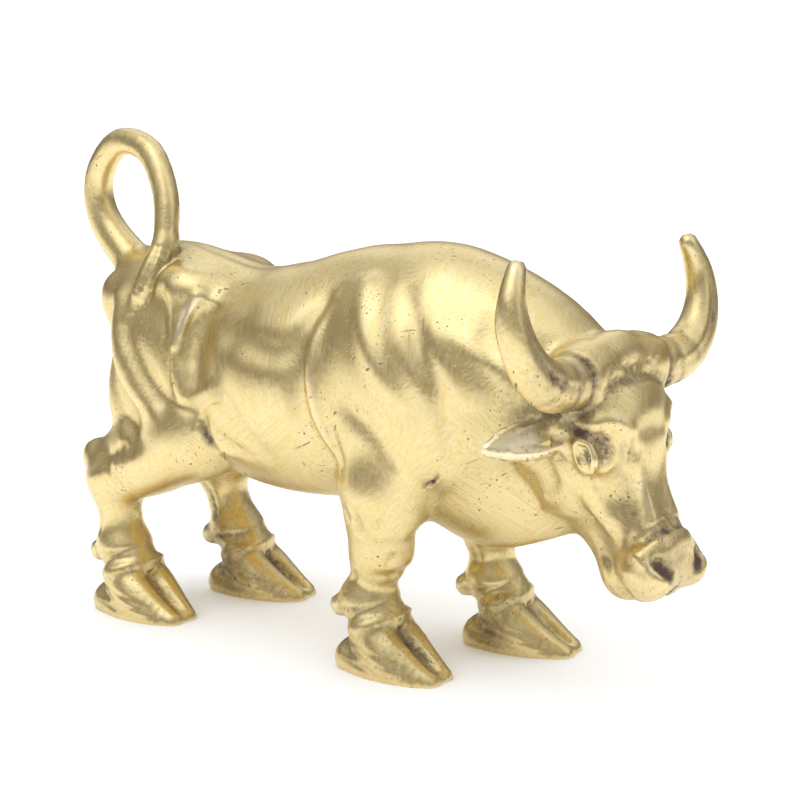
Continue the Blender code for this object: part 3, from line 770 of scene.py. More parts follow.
@dataclass
class HindLeg:
    """Thigh, gaskin, hock and what is below it."""

    hip: tuple
    stifle: tuple
    hock: tuple
    fetlock: tuple
    heading: float
    radii: tuple = (0.094, 0.096, 0.070)  # at the stifle, down the gaskin and at the hock
    cannon: float = 0.065

    def muscles(self, hip: np.ndarray, stifle: np.ndarray, outward: np.ndarray) -> list:
        """The two long muscles that stand out on the haunch.

        Args:
            hip: The hip's place.
            stifle: The stifle's place.
            outward: The way off the flank.

        Returns:
            Their lumps.
        """
        ridge = [
            (*(hip + outward * 0.030 + (-0.125, 0, 0.070)), 0.032),
            (*(hip + outward * 0.075 + (-0.060, 0, -0.060)), 0.044),
            (*(stifle + outward * 0.030 + (-0.075, 0, 0.060)), 0.046),
            (*(stifle + outward * 0.020 + (0.0, 0, 0.010)), 0.050),
        ]
        front = [
            (*(hip + outward * 0.040 + (0.070, 0, 0.100)), 0.034),
            (*(hip + outward * 0.078 + (0.105, 0, -0.060)), 0.036),
            (*(stifle + outward * 0.036 + (0.030, 0, 0.060)), 0.044),
        ]
        return [Rope(ridge, blend=0.028), Rope(front, blend=0.028)]

    def clay(self) -> Clay:
        """The lumps and strokes of the hind leg.

        Returns:
            The clay, with the lower leg's.
        """
        side = math.copysign(1.0, self.hip[1])
        hip, stifle, hock, fetlock = (
            np.array(joint) for joint in (self.hip, self.stifle, self.hock, self.fetlock)
        )
        run = hock - stifle
        middle = (hip + stifle) / 2
        lean = math.degrees(math.atan2(stifle[0] - hip[0], hip[2] - stifle[2]))
        point = hock + (-0.062, 0, 0.052)
        calf = stifle + 0.42 * run + (-0.085, 0, 0.040)
        outward = np.array([0.0, side, 0.0])
        top, gaskin, low = self.radii
        found = Clay(
            [
                Egg(middle + (0.000, 0, -0.005), (0.140, 0.085, 0.215), pitch=-lean, blend=0.05),
                Egg(middle + (-0.135, -side * 0.012, -0.010), (0.105, 0.085, 0.195), pitch=8, blend=0.05),
                Egg(stifle, (0.088, 0.072, 0.090), blend=0.05),
                *self.muscles(hip, stifle, outward),
                Rope([(*stifle, top), (*(stifle + 0.45 * run), gaskin), (*hock, low)], blend=0.05),
                Rope([(*calf, 0.048), (*point, 0.030)], blend=0.030),
                Egg(hock + (0.006, 0, 0.008), (0.078, 0.071, 0.078), blend=0.03),
                Egg(point, (0.036, 0.034, 0.040), blend=0.03),
            ]
        )
        lower = LowerLeg(hock, fetlock, self.heading, self.cannon).clay()
        tendon = [
            stifle + 0.34 * run + (-0.060, side * 0.055, 0.020),
            stifle + 0.68 * run + (-0.040, side * 0.050, 0.020),
            hock + (-0.030, side * 0.050, 0.010),
        ]
        out = outward * 0.09
        crest = [
            hip + out + (-0.150, 0, 0.060),
            hip + out + (-0.110, 0, -0.040),
            middle + out + (-0.075, 0, -0.020),
            stifle + out + (-0.040, 0, 0.055),
        ]
        valley = [
            hip + out + (-0.085, 0, 0.050),
            hip + out + (-0.045, 0, -0.055),
            stifle + out + (-0.010, 0, 0.100),
        ]
        behind = [
            hip + out + (-0.160, 0, -0.02),
            middle + out + (-0.15, 0, -0.06),
            stifle + out + (-0.10, 0, -0.01),
        ]
        shin = [
            stifle + out + (-0.08, 0, 0.01),
            stifle + 0.5 * run + out + (0, 0, 0.04),
            hock + out + (0.01, 0, 0.07),
        ]
        over_hock = [hock + out + (0.02, 0, 0.06), hock + (0.09, 0, 0.03), hock - out + (0.02, 0, 0.06)]
        found.strokes += [
            Stroke(crest, 0.022, -0.008),
            Stroke(valley, 0.024, 0.012),
            Stroke(behind, 0.024, 0.010),
            Stroke(shin, 0.022, 0.007),
            Stroke(over_hock, 0.014, 0.005),
        ]
        found.take(lower)
        found.strokes.append(Stroke(tendon, 0.013, 0.006))
        return found


@dataclass
class Head:
    """The head, in a frame with X down the face, Y to its left and Z out of the brow, from the poll."""

    poll: tuple = (0.780, 0.0, 0.775)
    drop: float = 62.0
    turn: float = -9.0
    scale: float = 1.28
    eye: tuple = (0.138, 0.094, -0.052)
    eye_bulge: float = 0.030
    iris: tuple = (0.0090, 0.0075)

    IRIS_POINTS = 11
    LIPS = ((0.412, 0.000, -0.088), (0.402, 0.036, -0.096), (0.376, 0.062, -0.108))

    def horn(self) -> Rope:
        """The left horn.

        Returns:
            Its rope, from the poll to the tip.
        """
        stations = [
            (0.000, 0.070, -0.010, 0.050),
            (0.012, 0.130, -0.008, 0.048),
            (0.008, 0.190, 0.002, 0.044),
            (-0.022, 0.240, 0.018, 0.038),
            (-0.072, 0.268, 0.038, 0.031),
            (-0.128, 0.270, 0.056, 0.025),
            (-0.178, 0.248, 0.072, 0.018),
        ]
        return Rope(stations, blend=0.022)

    def ear(self) -> list:
        """The left ear.

        Returns:
            Its lumps.
        """
        return [
            Rope([(0.060, 0.095, -0.075, 0.034), (0.072, 0.145, -0.090, 0.026)], blend=0.02),
            Egg((0.080, 0.178, -0.096), (0.036, 0.072, 0.018), yaw=8, roll=-16, pitch=16, blend=0.014),
            Egg((0.078, 0.226, -0.110), (0.020, 0.046, 0.014), yaw=4, roll=-16, pitch=16, blend=0.014),
        ]

    def masses(self) -> list:
        """The lumps of the head.

        Returns:
            The lumps, in the order that they are blended.
        """
        roll = [(0.002, -0.09, -0.008, 0.040), (-0.020, 0, 0.010, 0.040), (0.002, 0.09, -0.008, 0.040)]
        nose = [(0.12, 0, -0.088, 0.080), (0.24, 0, -0.082, 0.062), (0.33, 0, -0.076, 0.056)]
        bridge = [(0.11, 0.030, -0.032, 0.030), (0.22, 0.018, -0.034, 0.025), (0.33, 0.026, -0.036, 0.026)]
        rim = [(0.334, -0.066, -0.046, 0.018), (0.322, 0, -0.018, 0.020), (0.334, 0.066, -0.046, 0.018)]
        jaw = [(0.13, 0, -0.165, 0.054), (0.25, 0, -0.148, 0.046), (0.33, 0, -0.136, 0.036)]
        brow = [(0.078, 0.046, 0.004, 0.018), (0.086, 0.082, -0.006, 0.022), (0.104, 0.112, -0.032, 0.020)]
        return [
            Egg((0.085, 0, -0.070), (0.135, 0.114, 0.100), blend=0.04),
            Egg((0.062, 0, -0.014), (0.084, 0.094, 0.038), blend=0.03),
            Rope(roll, blend=0.02),
            Rope(nose, blend=0.04),
            Egg((0.352, 0, -0.070), (0.054, 0.086, 0.058), pitch=-10, blend=0.03),
            Rope(rim, blend=0.014),
            Egg((0.388, 0, -0.094), (0.024, 0.058, 0.030), pitch=-10, blend=0.016),
            Egg((0.345, 0, -0.142), (0.054, 0.054, 0.032), pitch=8, blend=0.014),
            Rope(jaw, blend=0.03),
            *both(
                Rope(bridge, blend=0.018),
                Egg((0.125, 0.066, -0.130), (0.100, 0.044, 0.078), pitch=14, blend=0.03),
                Rope(brow, blend=0.016),
                Egg((0.205, 0.060, -0.090), (0.075, 0.024, 0.022), yaw=-8, blend=0.025),
                Egg((0.376, 0.050, -0.048), (0.032, 0.032, 0.034), blend=0.018),
                Egg((0.005, 0.085, -0.012), (0.045, 0.050, 0.048), blend=0.03),
                self.horn(),
                *self.ear(),
                Egg(self.eye, (0.038, 0.030, 0.034), blend=0.006),
            ),
        ]

    def main_lines(self) -> list:
        """The main lines of the face. The solid frame has them too, but its mouth and nostrils lie elsewhere.

        Returns:
            The strokes of both halves.
        """
        mouth = [*self.LIPS, (0.336, 0.074, -0.120)]
        nostril = [(0.344, 0.070, -0.026), (0.364, 0.055, -0.014), (0.392, 0.032, -0.028)]
        nose_side = [(0.150, 0.062, -0.030), (0.220, 0.046, -0.040), (0.300, 0.050, -0.044)]
        upper_lid = [
            (0.094, 0.114, -0.066),
            (0.10, 0.108, -0.030),
            (0.134, 0.1, -0.014),
            (0.178, 0.088, -0.046),
        ]
        lower_lid = [(0.102, 0.116, -0.080), (0.142, 0.114, -0.094), (0.178, 0.096, -0.072)]
        ear_hollow = [
            (0.080, 0.130, -0.078),
            (0.078, 0.175, -0.076),
            (0.076, 0.222, -0.090),
            (0.074, 0.262, -0.104),
        ]
        behind_jaw = [(0.020, 0.10, -0.15), (0.10, 0.11, -0.205), (0.19, 0.08, -0.20)]
        return both(
            Stroke(mouth, 0.010, 0.011),
            Stroke(nostril, 0.012, 0.010),
            Stroke(nose_side, 0.014, 0.012),
            Stroke(upper_lid, 0.010, 0.008),
            Stroke(lower_lid, 0.010, 0.003),
            Stroke(ear_hollow, 0.016, 0.009),
            Stroke(behind_jaw, 0.022, 0.014),
        )

    def eye_lines(self) -> list:
        """Lids, iris, pupil and the wrinkles round the left eye.

        Returns:
            The strokes of the left half.
        """
        out = np.array([0.10, 0.86, 0.50])
        out = out / np.linalg.norm(out)
        up = np.array([0, 0, 1.0]) - out[2] * out
        up = up / np.linalg.norm(up)
        along = np.cross(out, up)

        def drawn(places: list, width: float, depth: float, even: bool = False) -> Stroke:
            """A stroke through places given along and up the eye."""
            points = [np.array(self.eye) + out * self.eye_bulge + along * u + up * v for u, v in places]
            return Stroke(points, width, depth, even=even)

        wide, high = self.iris
        angles = np.linspace(0, 2 * math.pi, self.IRIS_POINTS)
        iris = [(-0.001 + wide * math.cos(a), -0.005 + high * math.sin(a)) for a in angles]
        upper_lid = [(-0.038, 0.006), (-0.020, 0.018), (0.000, 0.017), (0.020, 0.006), (0.040, -0.012)]
        lower_lid = [(-0.036, 0.002), (-0.020, -0.013), (0.004, -0.020), (0.024, -0.019), (0.040, -0.012)]
        slit = [(-0.031, 0.000), (-0.016, 0.0065), (0.002, 0.0055), (0.019, -0.003), (0.034, -0.012)]
        lid_fold = [(-0.044, 0.012), (-0.024, 0.033), (0.004, 0.037), (0.028, 0.025), (0.046, 0.002)]
        return [
            drawn(upper_lid, 0.0100, -0.0086),
            drawn(lower_lid, 0.0052, -0.0030),
            drawn(slit, 0.0046, 0.0066),
            drawn([(-0.024, -0.006), (-0.006, -0.0125), (0.012, -0.0145), (0.028, -0.013)], 0.0038, 0.0026),
            drawn(iris, 0.0030, 0.0020, even=True),
            drawn([(-0.003, -0.005), (0.001, -0.005)], 0.0040, 0.0034, even=True),
            drawn([(0.034, -0.012), (0.046, -0.016)], 0.0070, 0.0070),
            drawn(lid_fold, 0.0075, 0.0064),
            drawn([(-0.034, 0.036), (-0.008, 0.048), (0.022, 0.044), (0.048, 0.022)], 0.0080, 0.0056),
            drawn([(-0.038, -0.018), (-0.010, -0.033), (0.018, -0.033), (0.044, -0.016)], 0.0075, 0.0024),
            drawn([(-0.026, -0.038), (0.000, -0.048), (0.030, -0.044), (0.056, -0.024)], 0.0070, 0.0042),
            drawn([(0.036, -0.006), (0.054, -0.012), (0.072, -0.014)], 0.0060, 0.0050),
        ]

    def muzzle_lines(self) -> list:
        """Nostril, lips, chin and the folds of the left half of the nose.

        Returns:
            The strokes of the left half.
        """
        brow = [(0.092, 0.116, -0.012), (0.096, 0.086, 0.014), (0.116, 0.052, 0.016), (0.150, 0.036, 0.006)]
        return [
            Stroke([(0.352, 0.064, -0.020), (0.368, 0.053, -0.014), (0.388, 0.036, -0.024)], 0.0080, 0.0080),
            Stroke([(0.338, 0.080, -0.036), (0.362, 0.080, -0.020), (0.392, 0.060, -0.024)], 0.0085, -0.0056),
            Stroke([(0.096, 0.114, -0.034), (0.132, 0.102, -0.008), (0.172, 0.084, -0.022)], 0.0130, 0.0110),
            Stroke([(0.170, 0.080, -0.040), (0.200, 0.068, -0.044), (0.250, 0.060, -0.052)], 0.0260, 0.0080),
            Stroke(brow, 0.0120, -0.0060),
            Stroke([(0.120, 0.044, 0.010), (0.150, 0.046, -0.004), (0.180, 0.052, -0.018)], 0.0085, 0.0076),
            Stroke([(0.126, 0.060, 0.004), (0.152, 0.063, -0.010), (0.176, 0.067, -0.024)], 0.0075, 0.0060),
            Stroke([(0.150, 0.038, -0.010), (0.220, 0.028, -0.016), (0.300, 0.036, -0.020)], 0.0095, -0.0060),
            Stroke([(0.340, 0.080, -0.040), (0.332, 0.084, -0.062), (0.338, 0.084, -0.090)], 0.0110, 0.0030),
            Stroke([*self.LIPS, (0.350, 0.072, -0.117)], 0.0050, 0.0044),
            Stroke([(0.410, 0.006, -0.078), (0.400, 0.038, -0.085), (0.376, 0.066, -0.096)], 0.0080, -0.0036),
            Stroke([(0.362, 0.064, -0.016), (0.384, 0.042, -0.018)], 0.0048, 0.0040),
            Stroke([(0.326, 0.070, -0.122), (0.306, 0.068, -0.134), (0.298, 0.062, -0.150)], 0.0100, 0.0020),
            Stroke([(0.390, 0.0, -0.150), (0.376, 0.034, -0.150), (0.350, 0.052, -0.148)], 0.0090, 0.0060),
            Stroke([(0.315, 0.056, -0.040), (0.306, 0.030, -0.016), (0.304, 0.0, -0.010)], 0.0070, 0.0045),
            Stroke([(0.298, 0.050, -0.040), (0.290, 0.026, -0.016), (0.288, 0.0, -0.012)], 0.0070, 0.0034),
            Stroke([(0.185, 0.090, -0.105), (0.245, 0.078, -0.118), (0.290, 0.074, -0.112)], 0.0100, 0.0070),
            Stroke([(0.095, 0.112, -0.105), (0.155, 0.106, -0.130), (0.175, 0.092, -0.175)], 0.0120, 0.0080),
        ]

    def poll_lines(self) -> list:
        """The hair of the poll, and the line under its roll.

        Returns:
            The strokes.
        """
        under_roll = [
            (0.034, -0.095, 0.012),
            (0.040, -0.045, 0.022),
            (0.042, 0, 0.026),
            (0.040, 0.045, 0.022),
            (0.034, 0.095, 0.012),
        ]
        found = [
            Stroke(under_roll, 0.0095, 0.0080),
            Stroke([(0.128, -0.045, 0.010), (0.120, 0, 0.016), (0.128, 0.045, 0.010)], 0.020, 0.007),
            Stroke([(0.398, 0, -0.040), (0.408, 0, -0.062), (0.412, 0, -0.086)], 0.0070, 0.0050),
        ]
        for lock, y in enumerate((-0.066, -0.030, 0.006, 0.040, 0.074)):
            sway = 0.012 if lock % 2 else -0.010
            path = [(0.046, y, 0.030), (0.028, y + sway, 0.038), (0.008, y + 0.4 * sway, 0.048)]
            found.append(Stroke(path, 0.0070, 0.0022))
        return found

    def horn_and_ear_lines(self) -> list:
        """Growth rings and edges of the left horn, and the ribs of the left ear.

        Returns:
            The strokes of the left half.
        """
        horn = self.horn()
        found = [horn.ring(4, 0.0085, 0.0060), horn.ring(7, 0.0075, 0.0026), horn.ring(11, 0.0080, 0.0018)]
        found.append(horn.line((1.0, 0.2, -0.6), 6, 27, 0.0100, -0.0050))
        found.append(horn.line((0.6, -0.2, 1.0), 5, 26, 0.0110, 0.0050))
        found += [
            Stroke([(0.066, 0.140, -0.076), (0.064, 0.182, -0.076), (0.070, 0.225, -0.092)], 0.0060, 0.0042),
            Stroke([(0.094, 0.140, -0.084), (0.094, 0.180, -0.086), (0.084, 0.220, -0.098)], 0.0060, 0.0042),
            Stroke([(0.075, 0.112, -0.072), (0.082, 0.130, -0.078), (0.082, 0.145, -0.080)], 0.0090, 0.0080),
        ]
        return found

    def clay(self) -> Clay:
        """The whole head, in the bull's frame.

        Returns:
            Its lumps and strokes.
        """
        fine = both(*self.eye_lines(), *self.muzzle_lines(), *self.horn_and_ear_lines())
        found = Clay(self.masses(), self.main_lines() + fine + self.poll_lines())
        return found.placed(turned(pitch=self.drop, yaw=self.turn), np.array(self.poll), self.scale)


@dataclass
class Tail:
    """The tail, thrown up from the dock and over the croup, with its tuft on the right hip."""

    thickness: float = 0.035

    def clay(self) -> Clay:
        """The lumps and strokes of the tail.

        Returns:
            The clay.
        """
        over = [
            (-0.570, 0.000, 0.860, 0.056),
            (-0.668, 0.000, 0.915, 0.050),
            (-0.755, 0.000, 1.015, 0.042),
            (-0.760, -0.004, 1.125, 0.037),
            (-0.672, -0.018, 1.214, self.thickness),
            (-0.550, -0.040, 1.196, 0.034),
            (-0.475, -0.068, 1.090, 0.033),
            (-0.452, -0.098, 0.975, 0.032),
        ]
        tuft = [
            (-0.452, -0.098, 0.975, 0.032),
            (-0.458, -0.126, 0.915, 0.040),
            (-0.476, -0.152, 0.858, 0.034),
            (-0.505, -0.170, 0.806, 0.014),
        ]
        ropes = [Rope(over, steps=4, blend=0.03), Rope(tuft, steps=4, blend=0.012)]
        ways = ((1.0, -0.9, 0.1), (0.2, -1.0, 0.2), (-0.8, -0.9, 0.2), (1.0, 0.2, 0.6))
        strokes = [ropes[1].line(way, 1, 9, 0.0080, 0.0050) for way in ways]
        strokes.append(ropes[0].line((0.2, -1.0, 0.1), 3, 27, 0.0150, 0.0030))
        strokes.append(ropes[0].line((0.2, 1.0, 0.1), 3, 27, 0.0150, 0.0030))
        return Clay(ropes, strokes)


@dataclass
class Bull:
    """The whole figure."""

    trunk: Trunk = field(default_factory=Trunk)
    head: Head = field(default_factory=Head)
    tail: Tail = field(default_factory=Tail)

    def legs(self) -> list:
        """Left and right foreleg, left and right hind leg.

        Returns:
            The four legs.
        """
        return [
            Foreleg((0.300, 0.170, 0.440), (0.365, 0.160, 0.290), (0.375, 0.158, 0.166), 6),
            Foreleg((0.270, -0.170, 0.440), (0.250, -0.160, 0.290), (0.215, -0.158, 0.166), -5),
            HindLeg(
                hip=(-0.42, 0.110, 0.75),
                stifle=(-0.275, 0.160, 0.49),
                hock=(-0.500, 0.150, 0.350),
                fetlock=(-0.440, 0.150, 0.170),
                heading=6,
            ),
            HindLeg(
                hip=(-0.43, -0.110, 0.75),
                stifle=(-0.320, -0.160, 0.49),
                hock=(-0.600, -0.150, 0.350),
                fetlock=(-0.580, -0.150, 0.170),
                heading=-6,
            ),
        ]

    def clay(self) -> Clay:
        """Every lump and stroke, with the strokes laid on the form.

        Returns:
            The clay of the whole bull.
        """
        shoulder = self.trunk.shoulder()
        found = Clay(self.trunk.masses() + shoulder + [lump.mirrored() for lump in shoulder])
        found.take(self.tail.clay())
        found.strokes += self.trunk.main_folds() + self.trunk.fine_folds() + self.trunk.fissure()
        for leg in self.legs():
            found.take(leg.clay())
        found.take(self.head.clay())
        found.lay_strokes()
        return found


# The skin over the clay.


def read(items: bpy.types.bpy_prop_collection, name: str, width: int, kind: type = float) -> np.ndarray:
    """Reads one property of every item of a mesh.

    Args:
        items: The mesh's vertices, edges or normals.
        name: The property.
        width: How many numbers it has.
        kind: The type of the numbers.

    Returns:
        One row for each item.
    """
    found = np.empty(len(items) * width, kind)
    items.foreach_get(name, found)
    return found.reshape(-1, width)


def points_of(mesh: bpy.types.Mesh) -> np.ndarray:
    """The places of a mesh's vertices, one row each."""
    return read(mesh.vertices, "co", 3)


def normals_of(mesh: bpy.types.Mesh) -> np.ndarray:
    """The normals at a mesh's vertices, one row each."""
    return read(mesh.vertex_normals, "vector", 3)


def edges_of(mesh: bpy.types.Mesh) -> np.ndarray:
    """The two vertex numbers of each edge, one row each."""
    return read(mesh.edges, "vertices", 2, np.int32)


def move_points(mesh: bpy.types.Mesh, points: np.ndarray) -> None:
    """Puts a mesh's vertices at new places."""
    mesh.vertices.foreach_set("co", points.astype(np.float32).ravel())
    mesh.update()


@contextmanager
def opened(mesh: bpy.types.Mesh) -> Iterator[bmesh.types.BMesh]:
    """Opens a mesh as a bmesh, and writes it back when the work on it is done.

    Args:
        mesh: The mesh, which may be empty.

    Yields:
        The bmesh.
    """
    form = bmesh.new()
    form.from_mesh(mesh)
    form.verts.ensure_lookup_table()
    yield form
    form.to_mesh(mesh)
    form.free()


def neighbours_mean(values: np.ndarray, edges: np.ndarray) -> np.ndarray:
    """The mean of the neighbours' values at each vertex, for one or more columns of values.

    Args:
        values: One row of values for each vertex.
        edges: The vertex numbers of each edge.

    Returns:
        One row of means for each vertex.
    """
    ends = edges.ravel()
    others = edges[:, ::-1].ravel()
    count = len(values)
    shared = np.maximum(np.bincount(ends, minlength=count), 1)
    columns = [np.bincount(ends, column[others], count) / shared for column in values.T]
    return np.stack(columns, axis=1)


@dataclass
class Skin:
    """The surface of the casting, from fused clay to a finished mesh."""

    clay: Clay
    grain: float
    padding: float = 0.010
    rough_rounds: int = 3
    settling_rounds: int = 4
    fine_rounds: int = 3
    most_step: float = 0.03
    evening: float = 0.6
    stray: float = 0.003  # further from the clay than this, a point goes downhill, not along its normal
    weld: float = 1e-6
    fine_widths: tuple = (0.0155, 0.0090, 0.0060)

    def fuse(self, skin: bpy.types.Object) -> None:
        """Gives the skin one even surface, and drops any pocket that is left inside it.

        Args:
            skin: The skin's object.
        """
        remesh = skin.modifiers.new("fuse", "REMESH")
        remesh.mode = "VOXEL"
        remesh.voxel_size = self.grain
        graph = bpy.context.evaluated_depsgraph_get()
        mesh = bpy.data.meshes.new_from_object(skin.evaluated_get(graph))
        skin.modifiers.clear()
        old = skin.data
        skin.data = mesh
        bpy.data.meshes.remove(old)
        edges = edges_of(mesh)
        island = np.arange(len(mesh.vertices))
        while True:
            lowest = np.minimum(island[edges[:, 0]], island[edges[:, 1]])
            before = island.copy()
            np.minimum.at(island, edges[:, 0], lowest)
            np.minimum.at(island, edges[:, 1], lowest)
            island = island[island]
            if (island == before).all():
                break
        names, sizes = np.unique(island, return_counts=True)
        if len(names) > 1:
            pocket = np.nonzero(island != names[sizes.argmax()])[0]
            with opened(mesh) as form:
                bmesh.ops.delete(form, geom=[form.verts[at] for at in pocket], context="VERTS")

    def settle(self, mesh: bpy.types.Mesh, rounds: int, carved: bool) -> None:
        """Draws the points of a mesh onto the clay, and evens them out along it.

        Args:
            mesh: The mesh whose points are moved.
            rounds: How often they are moved.
            carved: Whether the strokes count.
        """
        points = points_of(mesh)
        edges = edges_of(mesh)
        for turn in range(rounds):
            across = normals_of(mesh)
            value = np.clip(self.clay.blended(points, carved), -self.most_step, self.most_step)
            move = -across * value[:, None]
            stray = np.abs(value) > self.stray
            if stray.any():
                move[stray] = self.clay.downhill(points[stray], value[stray], carved)
            points = points + move
            if turn < rounds - 1:
                pull = neighbours_mean(points, edges) - points
                pull -= across * (pull * across).sum(axis=1, keepdims=True)
                points = points + self.evening * pull
            move_points(mesh, points)

    def refine(self, mesh: bpy.types.Mesh, width: float) -> None:
        """Divides the faces where the clay is carved with strokes narrower than a width.

        Args:
            mesh: The skin's mesh.
            width: The width up to which a stroke counts.
        """
        carved = self.clay.finely_carved(points_of(mesh), width)
        with opened(mesh) as form:
            edges = [edge for edge in form.edges if any(carved[end.index] for end in edge.verts)]
            bmesh.ops.subdivide_edges(form, edges=edges, cuts=1, use_grid_fill=True)

    def file_soles(self, mesh: bpy.types.Mesh) -> None:
        """Cuts off what hangs below the ground, and closes the soles flat.

        Args:
            mesh: The skin's mesh.
        """
        with opened(mesh) as form:
            cut = bmesh.ops.bisect_plane(
                form,
                geom=form.verts[:] + form.edges[:] + form.faces[:],
                dist=self.weld,
                plane_co=(0, 0, 0),
                plane_no=(0, 0, -1),
                clear_outer=True,
            )
            rim = [part for part in cut["geom_cut"] if isinstance(part, bmesh.types.BMEdge)]
            bmesh.ops.edgeloop_fill(form, edges=rim)
            bmesh.ops.recalc_face_normals(form, faces=form.faces)

    def model(self) -> bpy.types.Object:
        """Models the skin, in shoulder heights from the figure's own start.

        Returns:
            The object, linked to the scene.
        """
        mesh = bpy.data.meshes.new("bull_casting")
        with opened(mesh) as form:
            for lump in self.clay.lumps:
                lump.add_to(form, self.padding)
        skin = bpy.data.objects.new("bull_casting", mesh)
        bpy.context.scene.collection.objects.link(skin)
        self.fuse(skin)
        self.settle(skin.data, self.rough_rounds, carved=False)
        self.fuse(skin)
        self.settle(skin.data, self.settling_rounds, carved=True)
        for width in self.fine_widths:
            self.refine(skin.data, width)
            self.settle(skin.data, self.fine_rounds, carved=True)
        self.file_soles(skin.data)
        return skin


@dataclass
class WearAndShade:
    """Marks on the skin where metal is worn bright, where dirt stays, and how closed in each point is, which
    the finish paints as shade.
    """

    clay: Clay
    depths: tuple = (0.03, 0.07, 0.15)
    edge_depth: float = 0.035
    dirty_places: tuple = (
        (0.80, 0.14, 0.80, 0.10, 0.6),
        (0.82, -0.14, 0.80, 0.10, 0.6),
        (0.80, -0.30, 0.82, 0.10, 0.65),
        (0.84, 0.34, 0.84, 0.08, 0.6),
        (0.85, 0.22, 0.70, 0.10, 0.5),
        (0.83, -0.24, 0.70, 0.10, 0.5),
        (0.95, -0.03, 0.33, 0.15, 0.9),
        (0.38, 0.16, 0.04, 0.14, 0.7),
        (0.22, -0.16, 0.04, 0.14, 0.7),
        (-0.44, 0.15, 0.10, 0.20, 0.6),
        (-0.58, -0.15, 0.04, 0.14, 0.6),
        (0.43, -0.22, 0.49, 0.05, 0.9),
    )

    def mark(self, mesh: bpy.types.Mesh) -> None:
        """Stores how carved, how shaded, how exposed and how dirty each point of the skin is.

        Args:
            mesh: The skin, still in shoulder heights.
        """
        points = points_of(mesh)
        across = normals_of(mesh)
        # Shade: how closed in each point is, which the finish paints on as darker tarnish, patina and dust.
        shade = np.zeros(len(points))
        for depth in self.depths:
            open_way = self.clay.blended(points + across * depth)
            shade += np.clip(1 - open_way / depth, 0, 1) / len(self.depths)
        # How thin the form is behind each point, which the finish paints pale, as wear and as painted
        # highlight.
        edge = np.clip(1 + self.clay.blended(points - across * self.edge_depth) / self.edge_depth, 0, 1)
        dirt = np.zeros(len(points))
        for x, y, z, radius, strength in self.dirty_places:
            away = np.linalg.norm(points - (x, y, z), axis=1) / radius
            dirt = np.maximum(dirt, strength * np.exp(-(away**2)))
        self.store(mesh, "carving", self.clay.carving(points))
        self.store(mesh, "shade", shade)
        self.store(mesh, "edge", edge)
        self.store(mesh, "dirt", dirt)

    def store(self, mesh: bpy.types.Mesh, name: str, values: np.ndarray) -> None:
        """Keeps one number a point under a name."""
        layer = mesh.attributes.new(name, "FLOAT", "POINT")
        layer.data.foreach_set("value", np.clip(values, -1, 1).astype(np.float32))


# Finishes.


@dataclass
class NodeSheet:
    """A node tree with short ways to add and join nodes."""

    tree: bpy.types.NodeTree

    def add(self, kind: str, settings: dict | None = None, **values: object) -> bpy.types.Node:
        """Adds a node.

        Args:
            kind: The node's type, without its common start.
            settings: The node's own properties.
            values: Values or sockets for its inputs, by name, with _ for a space.

        Returns:
            The node.
        """
        node = self.tree.nodes.new("ShaderNode" + kind)
        for name, value in (settings or {}).items():
            setattr(node, name, value)
        for name, value in values.items():
            self.feed(node.inputs[name.replace("_", " ")], value)
        return node

    def feed(self, socket: bpy.types.NodeSocket, value: object) -> None:
        """Sets an input, or joins another node's output to it.

        Args:
            socket: The input.
            value: A value, or the output to join.
        """
        if isinstance(value, bpy.types.NodeSocket):
            self.tree.links.new(value, socket)
        else:
            socket.default_value = value

    def math(self, operation: str, *values: object, clamp: bool = False) -> bpy.types.NodeSocket:
        """The result of a calculation with numbers or sockets.

        Args:
            operation: The calculation.
            values: Its numbers or sockets.
            clamp: Whether the result is kept from 0 to 1.

        Returns:
            The result.
        """
        node = self.tree.nodes.new("ShaderNodeMath")
        node.operation = operation
        node.use_clamp = clamp
        for socket, value in zip(node.inputs, values):
            self.feed(socket, value)
        return node.outputs[0]

    def total(self, *terms: tuple) -> bpy.types.NodeSocket:
        """Adds up sockets.

        Args:
            terms: Pairs of a socket and its weight.

        Returns:
            The weighted sum.
        """
        found = None
        for value, weight in terms:
            part = value if weight == 1 else self.math("MULTIPLY", value, weight)
            found = part if found is None else self.math("ADD", found, part)
        return found

    def ramp(
        self, value: object, low: float, high: float, start: float = 0.0, end: float = 1.0
    ) -> bpy.types.NodeSocket:
        """A value spread smoothly from low and high to start and end.

        Args:
            value: The value.
            low: Where it begins to count.
            high: Where it counts in full.
            start: The result at low.
            end: The result at high.

        Returns:
            The result.
        """
        node = self.add("MapRange", {"interpolation_type": "SMOOTHSTEP"})
        for socket, number in zip(node.inputs, (value, low, high, start, end)):
            self.feed(socket, number)
        return node.outputs[0]

    def mix(self, share: object, first: object, second: object) -> bpy.types.NodeSocket:
        """Two colours mixed by a share.

        Args:
            share: How much of the second colour.
            first: The first colour.
            second: The second colour.

        Returns:
            The mixed colour.
        """
        node = self.tree.nodes.new("ShaderNodeMix")
        node.data_type = "RGBA"
        for socket, value in zip((node.inputs[0], node.inputs[6], node.inputs[7]), (share, first, second)):
            self.feed(socket, value)
        return node.outputs[2]

    def noise(
        self, place: object, scale: float, detail: float = 2.0, roughness: float = 0.5
    ) -> bpy.types.NodeSocket:
        """Soft noise from 0 to 1."""
        node = self.add("TexNoise", None, Vector=place, Scale=scale, Detail=detail, Roughness=roughness)
        return node.outputs["Fac"]

    def named(self, name: str) -> bpy.types.NodeSocket:
        """A number stored on the mesh."""
        return self.add("Attribute", {"attribute_name": name}).outputs["Fac"]


